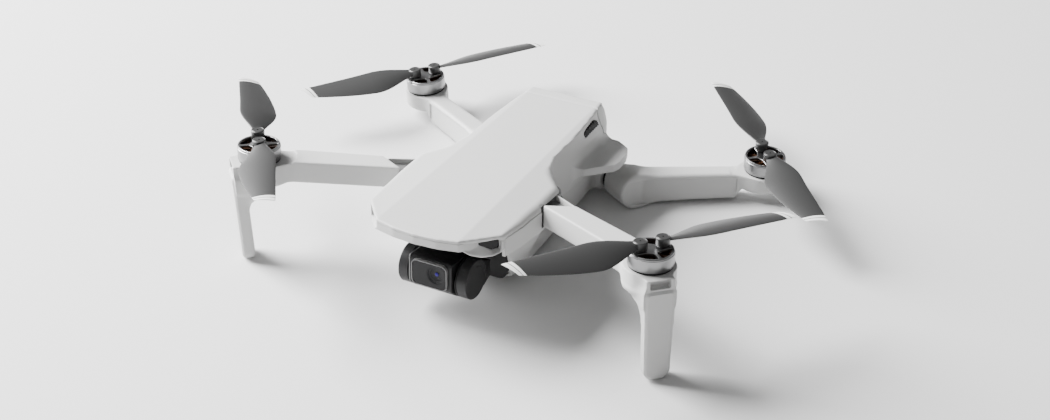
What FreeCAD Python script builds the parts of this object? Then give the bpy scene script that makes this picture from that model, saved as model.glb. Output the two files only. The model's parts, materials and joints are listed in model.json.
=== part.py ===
import FreeCAD, Part
import math
import os

# Folding camera quadcopter. Everything is modelled level (nose towards -Y, Z up, X to the right of
# somebody who looks the craft in the face) and then set down on its legs and rear hinge drums.
# Parts named right are at +X. All sizes are in millimetres.

V = FreeCAD.Vector

# Motors and propellers
FRONT_MOTOR = V(87.6, -62.7, 51.8)      # centre of the bell's top face
REAR_MOTOR = V(84.5, 62.7, 34.5)
REAR_LEAN_OUT = 2.6                     # degrees
REAR_LEAN_FORWARD = 5.0                 # degrees
BELL_RADIUS = 8.85
BELL_HEIGHT = 6.0
BELL_WALL = 0.8
BELL_GAP = 0.7
POD_RADIUS = 9.9
SHAFT_RADIUS = 1.0
SEAT_RADIUS = 3.4                       # stator foot, let into the pod
SEAT_DEPTH = 1.2
BLADE_PIVOT_OFFSET = 4.65
BLADE_BARREL_RADIUS = 2.75
BLADE_BARREL_HEIGHT = 3.6
BLADE_LIFT = 0.5                        # bell top to the barrel's lower face
BLADE_TIP_RADIUS = 58.5
BLADE_SCREW_RADIUS = 0.8
FRONT_BLADES = (50.0, -128.0)           # plan directions of the right-hand blades
REAR_BLADES = (133.0, -47.0)

# Body shells
WALL = 1.3
SEAM_FRONT = 43.2                       # top shell's lower edge at the shoulders
SEAM_WAIST = 26.8                       # and along the waist
SHOULDER_END = -17.0
MIDDLE_BOTTOM = 35.0
ROOF_FRONT = (-90.0, 45.14)             # (y, z) of the roof's flat top
ROOF_REAR = (60.0, 53.68)
ROOF_HALF_FRONT = 18.2
ROOF_HALF_REAR = 15.7
ROOF_SIDE_SLOPE = -0.139
HALF_PLAN = [(0, -86.5), (9.5, -85.8), (18.1, -83.7), (28.3, -71.6), (31.4, -58), (32.8, -43),
             (32.6, -28), (22.4, -17.2), (20.4, -12), (20, 30), (19.2, 41), (17.6, 46.4), (0, 47.6)]
HULL_STATIONS = [(-62, 8.2, 28.0), (-41, 8.2, 32.0), (-35, 8.2, 30.6), (-21, 8.2, 20.8),
                 (-12, 9.2, 20.2), (19, 13.3, 20.0), (46.5, 17.0, 19.2)]
HULL_HALF = 18.0
TAIL_BACK = [(41.4, 60), (41.4, 52.2), (44.4, 48.2), (47.0, 40.0), (47.6, 30), (46.4, 10)]
CHIN = (-41.0, 8.2)
BAY_WALL = -44.0                        # rear face of the wall behind the gimbal
BAY_CEILING = 39.8
DOOR_SEAM = 36.0
BOARD_TOP = 38.2                        # upper face of the main board
EYE_CENTRE = V(23.4, -77.6, 38.6)       # middle of the nose's right corner face
EYE_HEADING = -43.0                     # plan direction the corner face looks in
EYE_DEPTH = 2.6
VENT_PITCH = 1.45                       # between the vent's ribs

# Front arms
ARM_PIVOT = V(27.0, -28.0, 0)
ARM_BOTTOM = 36.5
ARM_TOP = 46.0
ARM_FOLD = 117.0                        # degrees
PIN_RADIUS = 2.0
PIN_TOP = 46.9
ARM_BOSS_RADIUS = 5.3
RUNNING_GAP = 0.05
SLOT_GAP = 0.35
FOOT = V(93.5, -67.0, 0)
LEG_TOP_OFFSET = 9.2
LEG_WIDTH = 9.7
LEG_DEPTH = 5.5

# Rear arms
REAR_ROOT = V(33.0, 34.0, 20.0)
REAR_AXIS_ANGLE = -31.0                 # plan direction of the folding axis
REAR_FOLD = 180.0                       # degrees
DRUM_RADIUS = 7.3
DRUM_INNER = -7.5
DRUM_OUTER = 7.5
REAR_BOSS_RADIUS = 6.6

# Gimbal
GIMBAL = V(0, -65.3, 18.9)              # where the pitch and roll axes cross
YAW_AXIS_Y = -55.0
PITCH_DISC_RADIUS = 8.2
PITCH_DISC_OUTER = 15.4
PITCH_DISC_INNER = 10.2
CAMERA_HALF = 9.6
GLASS_HALF_WIDTH = 7.4
GLASS_HALF_HEIGHT = 5.0
GLASS_RISE = 2.6                        # middle of the glass above the pitch axis
LENS_CENTRE = V(3.0, 0, 3.4)            # from the crossing of the axes
CAMERA_FRONT = 10.2

# Battery door
DOOR_PIN = V(0, 45.6, 19.4)
DOOR_PIN_RADIUS = 0.8
DOOR_BOTTOM = 18.6
SEAM_GAP = 0.12
DOOR_KNUCKLE = 2.0
DOOR_LUG = (13.5, 15.5)                 # between these distances from the middle, each side
DOOR_OPEN = 95.0                        # degrees

# Stance: a plane through the feet and under the drums' inner ends
TOUCH_REAR_Y = 37.9
STANCE = math.degrees(math.atan2(REAR_ROOT.z - DRUM_RADIUS - 0.02, TOUCH_REAR_Y - FOOT.y))


# ---- small helpers ----

def prism(points, low, high):
    """Upright solid from plan points (x, y)."""
    corners = [V(x, y, low) for x, y in points]
    return Part.Face(Part.makePolygon(corners + corners[:1])).extrude(V(0, 0, high - low))


def side_prism(points, left, right):
    """Solid from side-view points (y, z), extruded along X."""
    corners = [V(left, y, z) for y, z in points]
    return Part.Face(Part.makePolygon(corners + corners[:1])).extrude(V(right - left, 0, 0))


def slab(low, high):
    size = V(*high) - V(*low)
    return Part.makeBox(size.x, size.y, size.z, V(*low))


def rod(radius, start, end):
    along = end - start
    return Part.makeCylinder(radius, along.Length, start, along)


def tube(outer, inner, start, end):
    return rod(outer, start, end).cut(rod(inner, start, end))


def loft(sections):
    """Ruled solid through closed polygons with the same number of corners."""
    wires = [Part.makePolygon(s + s[:1]) for s in sections]
    return Part.makeLoft(wires, True, True)


def mirrored(shape):
    return shape.mirror(V(0, 0, 0), V(1, 0, 0))


def both_sides(shape):
    return Part.makeCompound([shape, mirrored(shape)])


def joined(shapes):
    solid = shapes[0]
    for other in shapes[1:]:
        solid = solid.fuse(other)
    return solid.removeSplitter()


def turned(vector, degrees):
    """A plan vector turned about Z."""
    angle = math.radians(degrees)
    x = vector.x * math.cos(angle) - vector.y * math.sin(angle)
    y = vector.x * math.sin(angle) + vector.y * math.cos(angle)
    return V(x, y, vector.z)


def full_plan(half):
    """A closed outline from its right half, nose first."""
    return half + [(-x, y) for x, y in reversed(half) if x > 0]


# ---- body shells ----

def roof(drop):
    """Everything below the faceted roof, lowered by drop."""
    sections = []
    for (y, z), half in ((ROOF_FRONT, ROOF_HALF_FRONT), (ROOF_REAR, ROOF_HALF_REAR)):
        edge = z - drop + (60 - half) * ROOF_SIDE_SLOPE
        half_points = [(half, z - drop), (60, edge), (60, -20)]
        points = half_points + [(-x, h) for x, h in reversed(half_points)]
        sections.append([V(x, y, h) for x, h in points])
    return loft(sections)


def inset_plan(inset):
    """The body's plan outline, moved in by the wall."""
    if inset == 0:
        return full_plan(HALF_PLAN)
    half = []
    for i, (x, y) in enumerate(HALF_PLAN):
        inward = y + inset if y < 0 and i < 4 else y
        inward = y - inset if y > 40 else inward
        half.append((max(0, x - inset * 1.15), inward))
    return full_plan(half)


def tail_cut(inset):
    """The space behind the tail's sloping back, which the body stops at."""
    back = [(y - inset, z) for y, z in TAIL_BACK]
    return side_prism(back + [(70, 10), (70, 60)], -30, 30)


def upper_body(inset):
    outline = prism(inset_plan(inset), 5, 60)
    return outline.common(roof(inset)).cut(tail_cut(inset))


def hull_body(inset):
    sections = []
    for y, bottom, crease in HULL_STATIONS:
        half = [(HULL_HALF - inset, bottom + inset), (crease - inset, MIDDLE_BOTTOM)]
        points = half + [(-x, z) for x, z in reversed(half)]
        sections.append([V(x, y, z) for x, z in points])
    return loft(sections).cut(tail_cut(inset))


def bay_mouth():
    """The slanted opening in front of the chin, where the gimbal hangs."""
    return side_prism([(-70, 60), (-62, 36), (CHIN[0], CHIN[1] - 1), (CHIN[0], -5), (-70, -5)], -40, 40)


def arm_slots():
    """Room for both front arms to swing: open outwards and to the rear."""
    front_edge = [(20.9, -38.9), (36, -45.3), (60, -45.3), (60, -5), (20.9, -5)]
    slot = prism(front_edge, ARM_BOTTOM - SLOT_GAP, ARM_TOP + SLOT_GAP)
    return both_sides(slot)


def above_seam():
    """The region of the top shell: high at the shoulders, deeper along the waist."""
    return side_prism([(-95, SEAM_FRONT), (SHOULDER_END, SEAM_FRONT), (SHOULDER_END, SEAM_WAIST),
                       (60, SEAM_WAIST), (60, 70), (-95, 70)], -45, 45)


def door_region():
    front = [(DOOR_SEAM, 60), (DOOR_SEAM, 52), (34.6, 50.6), (36.7, 43.6), (38.8, 39.3), (41, 38.2)]
    front.append((43, 37.6))
    foot = [(43, DOOR_BOTTOM), (60, DOOR_BOTTOM), (60, 60)]
    return side_prism(front + foot, -30, 30)


def door_line(radius, reach):
    """A rod along the battery door's hinge."""
    return rod(radius, DOOR_PIN - V(reach, 0, 0), DOOR_PIN + V(reach, 0, 0))


def door_lugs(grow):
    """Lugs that hold the door's pin."""
    profile = [(DOOR_PIN.y - 1.5 - grow, 16), (DOOR_PIN.y + 1.2 + grow, 16),
               (DOOR_PIN.y + 1.2 + grow, 20.4 + grow), (DOOR_PIN.y - 1.5 - grow, 20.4 + grow)]
    return both_sides(side_prism(profile, DOOR_LUG[0] - grow, DOOR_LUG[1] + grow))


def hips():
    """Eaves over the rear arm hinges."""
    plan = [(19.0, 7.5), (24, 9.5), (34, 20), (34.6, 32), (31.5, 38.5), (25, 42.4), (19.0, 42.4)]
    block = prism(plan, 32.6, 42)
    blend = ((5, 41.0, 24.4), (16, 40.4, 23.4), (29, 40.0, 22.4), (33, 36.4, 20.2), (50, 36.4, 20.2))
    sections = []
    for y, high, foot in blend:
        points = [(15, 30), (15, 42), (20.1, high), (foot, 36.1), (36, 35.0), (36, 30)]
        sections.append([V(x, y, z) for x, z in points])
    return block.common(loft(sections))


def make_top_shell():
    solid = upper_body(0).cut(upper_body(WALL)).common(above_seam())
    solid = solid.fuse(both_sides(hips().cut(upper_body(0)))).cut(arm_slots())
    solid = solid.cut(door_region()).cut(drum_room())
    pin_seats = both_sides(rod(PIN_RADIUS, ARM_PIVOT + V(0, 0, ARM_TOP), ARM_PIVOT + V(0, 0, PIN_TOP)))
    solid = solid.cut(pin_seats)
    return solid.cut(both_sides(vent_block(0.05))).removeSplitter()


def make_middle_frame():
    """The band under the top shell at the shoulders, with the arms' lower lugs."""
    front_half = slab((-45, -70, MIDDLE_BOTTOM), (45, SHOULDER_END, SEAM_FRONT))
    band = upper_body(0).cut(upper_body(WALL)).common(front_half)
    lower = both_sides(prism([(17.6, -49), (31.6, -49), (31.9, -41), (30, -35), (23, -23), (17.6, -20)],
                             MIDDLE_BOTTOM, ARM_BOTTOM - SLOT_GAP))
    deck = slab((-18, -47.5, MIDDLE_BOTTOM), (18, -43, MIDDLE_BOTTOM + 1.2))
    ceiling = upper_body(0.6).common(slab((-45, -70, BAY_CEILING), (45, -49, BAY_CEILING + WALL)))
    frame = band.fuse(lower).fuse(deck).fuse(ceiling).cut(arm_slots())
    bores = both_sides(rod(PIN_RADIUS, ARM_PIVOT + V(0, 0, 30), ARM_PIVOT + V(0, 0, 50)))
    return frame.cut(bores).removeSplitter()


def eye_recess():
    """Slanted pocket in the nose's right corner, which holds the dark window."""
    out, across = eye_directions()
    outline = ((-6, -2.8), (6, -2.8), (6, 3), (-6, 3))
    corners = [EYE_CENTRE + across * s + V(0, 0, z) for s, z in outline]
    deep = [p - out * EYE_DEPTH + V(0, 0, 0.3) for p in corners]
    wide = [p + out * 6 for p in corners]
    return loft([deep, wide])


def eye_directions():
    """The corner face's outward and sideways plan directions."""
    out = turned(V(1, 0, 0), EYE_HEADING)
    return out, turned(out, 90)


def eye_window():
    out, across = eye_directions()
    middle = EYE_CENTRE - out * EYE_DEPTH
    outline = ((-3.9, -1.9), (3.9, -1.9), (3.9, 2.4), (-3.9, 2.4))
    back = [middle + across * s + V(0, 0, z) for s, z in outline]
    front = [p + out * 0.8 for p in back]
    return loft([back, front])


def make_nose_fascia():
    """Front band of the nose, with the two corner pods under it."""
    brow = upper_body(0).common(slab((-45, -95, 39.8), (45, -70, SEAM_FRONT)))
    brow = brow.cut(upper_body(2.2).common(slab((-45, -95, 41.4), (45, -69, SEAM_FRONT))))
    pod_plan = [(15.6, -84.1), (18.1, -83.7), (28.3, -71.6), (28.6, -70), (22, -70), (14.5, -80)]
    pod = loft([[V(x, y, 39.9) for x, y in pod_plan],
                [V(21.2 + (x - 21.2) * 0.45, -74.5 + (y + 74.5) * 0.45, 32.6) for x, y in pod_plan]])
    nose = brow.fuse(both_sides(pod)).cut(both_sides(eye_recess()))
    return nose.cut(both_sides(eye_window())).removeSplitter()


def make_corner_windows():
    return both_sides(eye_window())


def make_hull_shell():
    """Lower shell: belly, sides, bay front wall and the rear hinge bosses."""
    outer = hull_body(0).cut(bay_mouth())
    shell = outer.cut(hull_body(WALL))
    wall = outer.common(slab((-35, BAY_WALL - WALL, 8), (35, BAY_WALL, MIDDLE_BOTTOM)))
    waist_top = slab((-45, SHOULDER_END, SEAM_WAIST), (45, 60, 60))
    shell = shell.fuse(wall).cut(waist_top)
    boss = rod(REAR_BOSS_RADIUS, rear_point(DRUM_INNER - 6.2), rear_point(DRUM_INNER - 0.3))
    shell = shell.fuse(both_sides(boss.cut(hull_body(WALL)))).cut(door_region())
    shell = shell.cut(both_sides(rod(PIN_RADIUS, rear_point(DRUM_INNER - 6), rear_point(0))))
    shell = shell.cut(belly_region()).cut(port_room()).cut(door_line(DOOR_KNUCKLE, 21))
    lugs = door_lugs(0).common(upper_body(0)).cut(tail_cut(0)).common(hull_body(0).fuse(upper_body(0)))
    shell = shell.fuse(lugs).cut(door_line(DOOR_PIN_RADIUS, 18))
    return shell.removeSplitter()


def belly_region():
    return slab((-13.5, -37, 5), (13.5, 4, 14))


def make_belly_plate():
    """Dark sensor plate let into the belly."""
    profile = [(-36.9, 5), (3.9, 5), (3.9, 12.4), (-12, 10.2), (-21, 9.3), (-36.9, 9.3)]
    return hull_body(0).common(side_prism(profile, -13.4, 13.4)).cut(belly_holes())


def belly_holes():
    lens_room = [rod(3.1, V(s * 7.5, -28, 5), V(s * 7.5, -28, 14)) for s in (-1, 1)]
    eye_room = [rod(1.6, V(s * 3.2, -19, 5), V(s * 3.2, -19, 14)) for s in (-1, 1)]
    button_room = [rod(3.35, V(0, -8.5, 5), V(0, -8.5, 14))]
    light_room = [rod(0.6, V(-4.5 + 3 * i, -1.0, 5), V(-4.5 + 3 * i, -1.0, 14)) for i in range(4)]
    return Part.makeCompound(lens_room + eye_room + button_room + light_room)


def make_vision_lenses():
    return Part.makeCompound([rod(3.1, V(s * 7.5, -28, 8.5), V(s * 7.5, -28, 12)) for s in (-1, 1)])


def make_infrared_sensors():
    return Part.makeCompound([rod(1.6, V(s * 3.2, -19, 8.5), V(s * 3.2, -19, 12)) for s in (-1, 1)])


def make_battery_lights():
    return Part.makeCompound([rod(0.6, V(-4.5 + 3 * i, -1.0, 10.8), V(-4.5 + 3 * i, -1.0, 13))
                              for i in range(4)])


def make_power_button():
    cap = rod(3.0, V(0, -8.5, 9.4), V(0, -8.5, 12.4))
    return cap.fuse(rod(3.9, V(0, -8.5, 12.4), V(0, -8.5, 13.2))).removeSplitter()


def vent_block(grow):
    """Slanted air vent in the tail's side wall."""
    low_front, low_back = (20.3 - grow, 45.1 - grow), (32.9 + grow, 46.0 - grow)
    front = [(18.6 - grow, 47.3), (19.3 - grow, 48.6 + grow)]
    back = [(29.0 - grow, 49.7 + grow), (31.0 + grow, 48.9 + grow)]
    return side_prism([low_front] + front + back + [low_back], 18.4 - grow, 20.2)


def make_side_vents():
    frame = vent_block(0)
    for i in range(8):
        y = 19.9 + VENT_PITCH * i
        groove = [(y, 45.9), (y + 1.3, 48.4), (y + 2.0, 48.4), (y + 0.7, 45.9)]
        frame = frame.cut(side_prism(groove, 19.3, 21))
    return both_sides(frame.common(upper_body(0)))


def port_room():
    return slab((-9, 36, 13), (9, 50, 17.6))


def make_port_block():
    """Charging socket and card slot, at the foot of the tail."""
    block = hull_body(0).common(slab((-8.9, 36.2, 13), (8.9, 50, 17.5)))
    socket = slab((-7, 40, 16.0), (0.5, 50, 17.3))
    card = slab((2, 40, 16.2), (8, 50, 17.0))
    return block.cut(socket).cut(card).cut(door_line(DOOR_KNUCKLE, 21))


def make_battery_door():
    skin = upper_body(0).cut(upper_body(WALL)).common(slab((-30, 30, SEAM_WAIST), (30, 60, 60)))
    low = hull_body(0).cut(hull_body(WALL)).common(slab((-30, 30, 10), (30, 60, SEAM_WAIST)))
    region = door_region()
    region.translate(V(0, SEAM_GAP, 0))
    back = skin.fuse(low).common(region)
    ears = [slab((x - 2, DOOR_PIN.y - 1.5, DOOR_BOTTOM), (x + 2, DOOR_PIN.y + 0.9, 21.4)) for x in (-11, 11)]
    door = joined([back] + ears).cut(door_lugs(0.5)).cut(slab((-30, 30, 10), (30, 60, DOOR_BOTTOM + 0.15)))
    return door.cut(door_line(DOOR_PIN_RADIUS + RUNNING_GAP, 20))


def make_door_pin():
    return door_line(DOOR_PIN_RADIUS, DOOR_LUG[1])


# ---- inside the body ----

def make_battery():
    pack = slab((-16.2, -30, 18.0), (16.2, 38, 34.2)).cut(slab((-16.2, 36, 29), (16.2, 38, 34.2)))
    contacts = [slab((-12 + 5 * i, -31.4, 21), (-9.5 + 5 * i, -30, 29)) for i in range(5)]
    return joined([pack] + contacts)


def make_main_board():
    board = slab((-16, -42.5, 37.0), (16, 30, BOARD_TOP))
    chips = [slab((-9, -36, BOARD_TOP), (3, -24, 39.6)), slab((-12, 12, BOARD_TOP), (-4, 24, 39.4)),
             slab((4, -20, BOARD_TOP), (13, -10, 39.2))]
    return joined([board] + chips)


def make_heat_sink():
    base = slab((-12, -23, BOARD_TOP + 0.05), (3.8, 8, 39.6))
    fins = [slab((-12 + 3.1 * i, -23, 39.6), (-11 + 3.1 * i, 8, 45.4)) for i in range(6)]
    return joined([base] + fins)


def make_cooling_fan():
    middle = V(0, 10, 42.8)
    case = slab((-8, 8.4, 38.9), (8, 11.6, 46.6)).cut(rod(3.3, middle - V(0, 2, 0), middle + V(0, 2, 0)))
    hub = rod(1.2, middle - V(0, 1.2, 0), middle + V(0, 1.2, 0))
    vanes = []
    for i in range(5):
        vane = slab((0.6, 9.6, 42.4), (3.1, 10.4, 43.2))
        vane.rotate(middle, V(0, 1, 0), 72 * i)
        vanes.append(vane)
    return Part.makeCompound([case, joined([hub] + vanes)])


def make_satellite_antenna():
    base = slab((-9, 14.6, 41), (9, 32, 42.2))
    patch = slab((-7.5, 16, 42.2), (7.5, 30.5, 46.2))
    legs = [slab((x, y, BOARD_TOP), (x + 1, y + 1, 41)) for x in (-9, 8) for y in (26, 28)]
    return joined([base, patch] + legs)


def make_shell_screws():
    """Screws that draw the lower shell to the middle frame."""
    heads = []
    for y in (-42.6, -34.0):
        head = rod(1.6, V(14.8, y, 36.2), V(14.8, y, 36.95))
        heads.append(both_sides(head))
    return Part.makeCompound(heads)


def make_front_arm_pins():
    pin = rod(PIN_RADIUS, ARM_PIVOT + V(0, 0, MIDDLE_BOTTOM + 0.1), ARM_PIVOT + V(0, 0, PIN_TOP))
    return both_sides(pin)


def rear_axis():
    return turned(V(1, 0, 0), REAR_AXIS_ANGLE)


def rear_point(along):
    return REAR_ROOT + rear_axis() * along


def drum_room():
    """Space that the rear arms' drums turn in."""
    return both_sides(rod(DRUM_RADIUS + 0.35, rear_point(DRUM_INNER - 0.3), rear_point(DRUM_OUTER + 8)))


def make_rear_arm_pins():
    return both_sides(rod(PIN_RADIUS, rear_point(DRUM_INNER - 5.5), rear_point(DRUM_OUTER - 1.5)))


# ---- arms ----

def leg_frame():
    """The leg's outward and sideways plan directions."""
    outward = turned(V(1, 0, 0), -45)
    return outward, turned(outward, 90)


def leg_section(centre, width, depth):
    """A chamfered rectangle in plan."""
    outward, across = leg_frame()
    cut = min(width, depth) * 0.28
    half_width = width / 2
    half_depth = depth / 2
    corners = [(half_depth, half_width - cut), (half_depth - cut, half_width),
               (cut - half_depth, half_width), (-half_depth, half_width - cut)]
    corners += [(d, -w) for d, w in reversed(corners)]
    return [centre + outward * d + across * w for d, w in corners]


def make_leg():
    outward = leg_frame()[0]
    top = V(FRONT_MOTOR.x, FRONT_MOTOR.y, 44.6) + outward * LEG_TOP_OFFSET
    shoulder = V(FRONT_MOTOR.x, FRONT_MOTOR.y, 36) + outward * (LEG_TOP_OFFSET + 0.4)
    knee = shoulder + (FOOT - shoulder) * 0.25
    ankle = shoulder + (FOOT - shoulder) * 0.93
    sole = FOOT + V(0, 0, -1.2)
    leg = loft([leg_section(top, LEG_WIDTH + 1.6, LEG_DEPTH - 1.0),
                leg_section(shoulder, LEG_WIDTH + 1.2, LEG_DEPTH + 0.8),
                leg_section(knee, LEG_WIDTH, LEG_DEPTH),
                leg_section(ankle, LEG_WIDTH - 0.4, LEG_DEPTH),
                leg_section(sole, LEG_WIDTH - 2.6, LEG_DEPTH - 1.2)])
    pocket = slab((-1.6, -3.1, -3), (4, 3.1, 2))
    pocket.rotate(V(0, 0, 0), V(0, 0, 1), -45)
    pocket.translate(V(FRONT_MOTOR.x, FRONT_MOTOR.y, 42.6) + outward * (LEG_TOP_OFFSET + 2.6))
    return leg.cut(pocket)


def make_front_arm():
    """Right front arm with its motor pod and landing leg."""
    inner = [(33.4, -43.4), (74.1, -60.6), (80.5, -69.0), (90, -69.5), (88, -55), (81.5, -51.4),
             (74.5, -48.2), (44.3, -37.0)]
    beam = prism(inner, ARM_BOTTOM, ARM_TOP)
    knuckle_plan = [(24.2, -33.0), (33.2, -43.3), (44.2, -37.2), (31.6, -24.8)]
    knuckle = prism(knuckle_plan, ARM_BOTTOM + 0.6, ARM_TOP - 0.5)
    boss = rod(ARM_BOSS_RADIUS, ARM_PIVOT + V(0, 0, ARM_BOTTOM + 0.2), ARM_PIVOT + V(0, 0, ARM_TOP - 0.2))
    axis_foot = V(FRONT_MOTOR.x, FRONT_MOTOR.y, 0)
    pod_top = FRONT_MOTOR.z - BELL_HEIGHT - BELL_GAP
    pod = rod(POD_RADIUS, axis_foot + V(0, 0, ARM_BOTTOM + 1.0), axis_foot + V(0, 0, pod_top))
    under = Part.makeCone(POD_RADIUS - 1.1, POD_RADIUS, 1.1, axis_foot + V(0, 0, ARM_BOTTOM - 0.1))
    arm = joined([beam, knuckle, boss, pod, under, make_leg()])
    arm = arm.cut(rod(BELL_RADIUS + 6, FRONT_MOTOR + V(0, 0, pod_top - FRONT_MOTOR.z), FRONT_MOTOR))
    arm = arm.cut(rod(PIN_RADIUS + RUNNING_GAP, ARM_PIVOT, ARM_PIVOT + V(0, 0, 60)))
    seat = rod(SEAT_RADIUS, axis_foot + V(0, 0, pod_top - SEAT_DEPTH), axis_foot + V(0, 0, pod_top + 1))
    ground = side_prism([(-110, -30), (60, -30), (60, stance_height(60)), (-110, stance_height(-110))],
                        40, 120)
    return arm.cut(seat).cut(ground).removeSplitter()


def stance_height(y):
    """Height of the ground under the level craft."""
    return (y - FOOT.y) * math.tan(math.radians(STANCE))


def rear_tilt():
    """The rear motor axis: it leans outwards and forwards."""
    out = math.tan(math.radians(REAR_LEAN_OUT))
    forward = math.tan(math.radians(REAR_LEAN_FORWARD))
    return V(out, -forward, 1).normalize()


def bar_section(x, y, width, low, high):
    """Chamfered section across the rear arm, centred on a plan point."""
    along = (V(REAR_MOTOR.x, REAR_MOTOR.y, 0) - V(REAR_ROOT.x, REAR_ROOT.y, 0)).normalize()
    across = turned(along, 90)
    cut = 1.6
    half = width / 2
    points = [(half, low + cut), (half, high - cut), (half - cut, high), (cut - half, high),
              (-half, high - cut), (-half, low + cut), (cut - half, low), (half - cut, low)]
    return [V(x, y, 0) + across * s + V(0, 0, z) for s, z in points]


def make_rear_arm():
    """Right rear arm with its hinge drum and motor pod."""
    drum = rod(DRUM_RADIUS, rear_point(DRUM_INNER), rear_point(DRUM_OUTER))
    bar = loft([bar_section(36.5, 36.6, 10.5, 13.6, 26.4), bar_section(43, 44.6, 10.2, 14.2, 26.6),
                bar_section(58, 51.6, 9.4, 15.0, 27.2), bar_section(74, 59.3, 9.2, 16.0, 27.6),
                bar_section(76.5, 60.5, 9.6, 20.6, 27.7), bar_section(81, 62.4, 12.5, 21.0, 27.7)])
    up = rear_tilt()
    pod_top = REAR_MOTOR - up * (BELL_HEIGHT + BELL_GAP)
    pod = rod(POD_RADIUS, pod_top - up * 6.0, pod_top)
    under = Part.makeCone(POD_RADIUS - 2.6, POD_RADIUS, 2.4, pod_top - up * 8.4, up)
    arm = joined([drum, bar, pod, under])
    arm = arm.cut(rod(BELL_RADIUS + 6, pod_top, pod_top + up * 9))
    bore = rod(PIN_RADIUS + RUNNING_GAP, rear_point(DRUM_INNER - 1), rear_point(DRUM_OUTER - 1.3))
    seat = rod(SEAT_RADIUS, pod_top - up * SEAT_DEPTH, pod_top + up)
    return arm.cut(bore).cut(seat).removeSplitter()


# ---- motors and propellers, built upright at the origin with the bell's top face at z = 0 ----

def make_stator():
    """Mount plate, slotted core and windings around the shaft tube."""
    low = -(BELL_HEIGHT + BELL_GAP)
    foot = rod(SEAT_RADIUS, V(0, 0, low - SEAT_DEPTH), V(0, 0, low))
    plate = rod(6.6, V(0, 0, low), V(0, 0, low + 0.6))
    core = rod(SEAT_RADIUS, V(0, 0, low + 0.6), V(0, 0, -1.6))
    teeth = []
    for i in range(9):
        tooth = slab((3.0, -1.0, low + 1.2), (7.3, 1.0, -1.9))
        tooth.rotate(V(0, 0, 0), V(0, 0, 1), 40 * i)
        teeth.append(tooth)
    bore = rod(SHAFT_RADIUS + RUNNING_GAP, V(0, 0, low - 2), V(0, 0, 0))
    return joined([foot, plate, core] + teeth).cut(bore)


def make_bell():
    """Rotor can: rim, four spokes, hub, magnets' back ring and the shaft."""
    low = -BELL_HEIGHT
    rim = tube(BELL_RADIUS, BELL_RADIUS - BELL_WALL, V(0, 0, low), V(0, 0, 0))
    hub = rod(3.6, V(0, 0, -1.2), V(0, 0, 0))
    spokes = []
    for i in range(4):
        spoke = slab((0, -1.1, -1.2), (BELL_RADIUS - 0.4, 1.1, -0.2))
        spoke.rotate(V(0, 0, 0), V(0, 0, 1), 90 * i)
        spokes.append(spoke)
    bridge = slab((-BLADE_PIVOT_OFFSET - 2.2, -2.2, -1.2), (BLADE_PIVOT_OFFSET + 2.2, 2.2, 0.3))
    shaft = rod(SHAFT_RADIUS, V(0, 0, -BELL_HEIGHT - BELL_GAP - 1.1), V(0, 0, 0))
    bell = joined([rim, hub, bridge, shaft] + spokes)
    for side in (-1, 1):
        x = side * BLADE_PIVOT_OFFSET
        bell = bell.cut(rod(BLADE_SCREW_RADIUS, V(x, 0, -0.9), V(x, 0, 2)))
    return bell


def make_blade_screws():
    screws = []
    for side in (-1, 1):
        x = side * BLADE_PIVOT_OFFSET
        stem = rod(BLADE_SCREW_RADIUS, V(x, 0, -0.9), V(x, 0, BLADE_LIFT + 2.6))
        head = rod(1.35, V(x, 0, BLADE_LIFT + 2.6), V(x, 0, BLADE_LIFT + 3.3))
        screws.append(stem.fuse(head).removeSplitter())
    return Part.makeCompound(screws)


def blade_chord(share):
    """Chord of the blade at a share of its length."""
    if share < 0.33:
        return 4.6 + 10.6 * math.sin(math.pi / 2 * share / 0.33) ** 1.3
    return 15.2 - 7.6 * ((share - 0.33) / 0.67) ** 1.35


def blade_section(share, spin):
    """Lens-shaped section across the blade, twisted more at the root."""
    reach = BLADE_TIP_RADIUS - BLADE_PIVOT_OFFSET
    x = 1.0 + (reach - 1.0) * share
    chord = blade_chord(share)
    thick = 1.5 - 0.9 * share
    twist = math.radians(17 - 9 * share)
    lead = 0.5 - 0.12 * math.sin(math.pi * share)
    level = BLADE_LIFT + 2.2 + 0.9 * share
    points = [(lead, 0.0), (lead - 0.3, 0.5), (lead - 0.65, 0.42), (lead - 1.0, 0.0), (lead - 0.5, -0.35)]
    section = []
    for across, up in points:
        s = across * chord
        h = up * thick
        y = s * math.cos(twist) - h * math.sin(twist)
        z = s * math.sin(twist) + h * math.cos(twist)
        section.append(V(x, spin * y, level + z))
    return section


def make_blade(spin):
    """One blade along +X from its own pivot; spin is +1 or -1 for the two rotation senses."""
    shares = [0.0, 0.08, 0.17, 0.27, 0.37, 0.5, 0.63, 0.76, 0.88, 1.0]
    wing = loft([blade_section(s, spin) for s in shares])
    barrel = rod(BLADE_BARREL_RADIUS, V(0, 0, BLADE_LIFT), V(0, 0, BLADE_LIFT + BLADE_BARREL_HEIGHT))
    blade = joined([barrel, wing])
    top = BLADE_LIFT + BLADE_BARREL_HEIGHT
    blade = blade.cut(rod(BLADE_SCREW_RADIUS + RUNNING_GAP, V(0, 0, 0), V(0, 0, top + 1)))
    blade = blade.cut(rod(1.4 + RUNNING_GAP, V(0, 0, BLADE_LIFT + 2.55), V(0, 0, top + 3)))
    return blade.cut(slab((-9, -12, -3), (60, 12, BLADE_LIFT)))


def motor_placement(origin, axis, heading):
    """Carries a part built upright at the origin onto a motor, turned to a heading."""
    lean = FreeCAD.Rotation(V(0, 0, 1), axis)
    turn = FreeCAD.Rotation(V(0, 0, 1), heading)
    return FreeCAD.Placement(origin, lean.multiply(turn))


def on_motor(shape, origin, axis, heading):
    moved = shape.copy()
    moved.Placement = motor_placement(origin, axis, heading).multiply(moved.Placement)
    return moved


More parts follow.
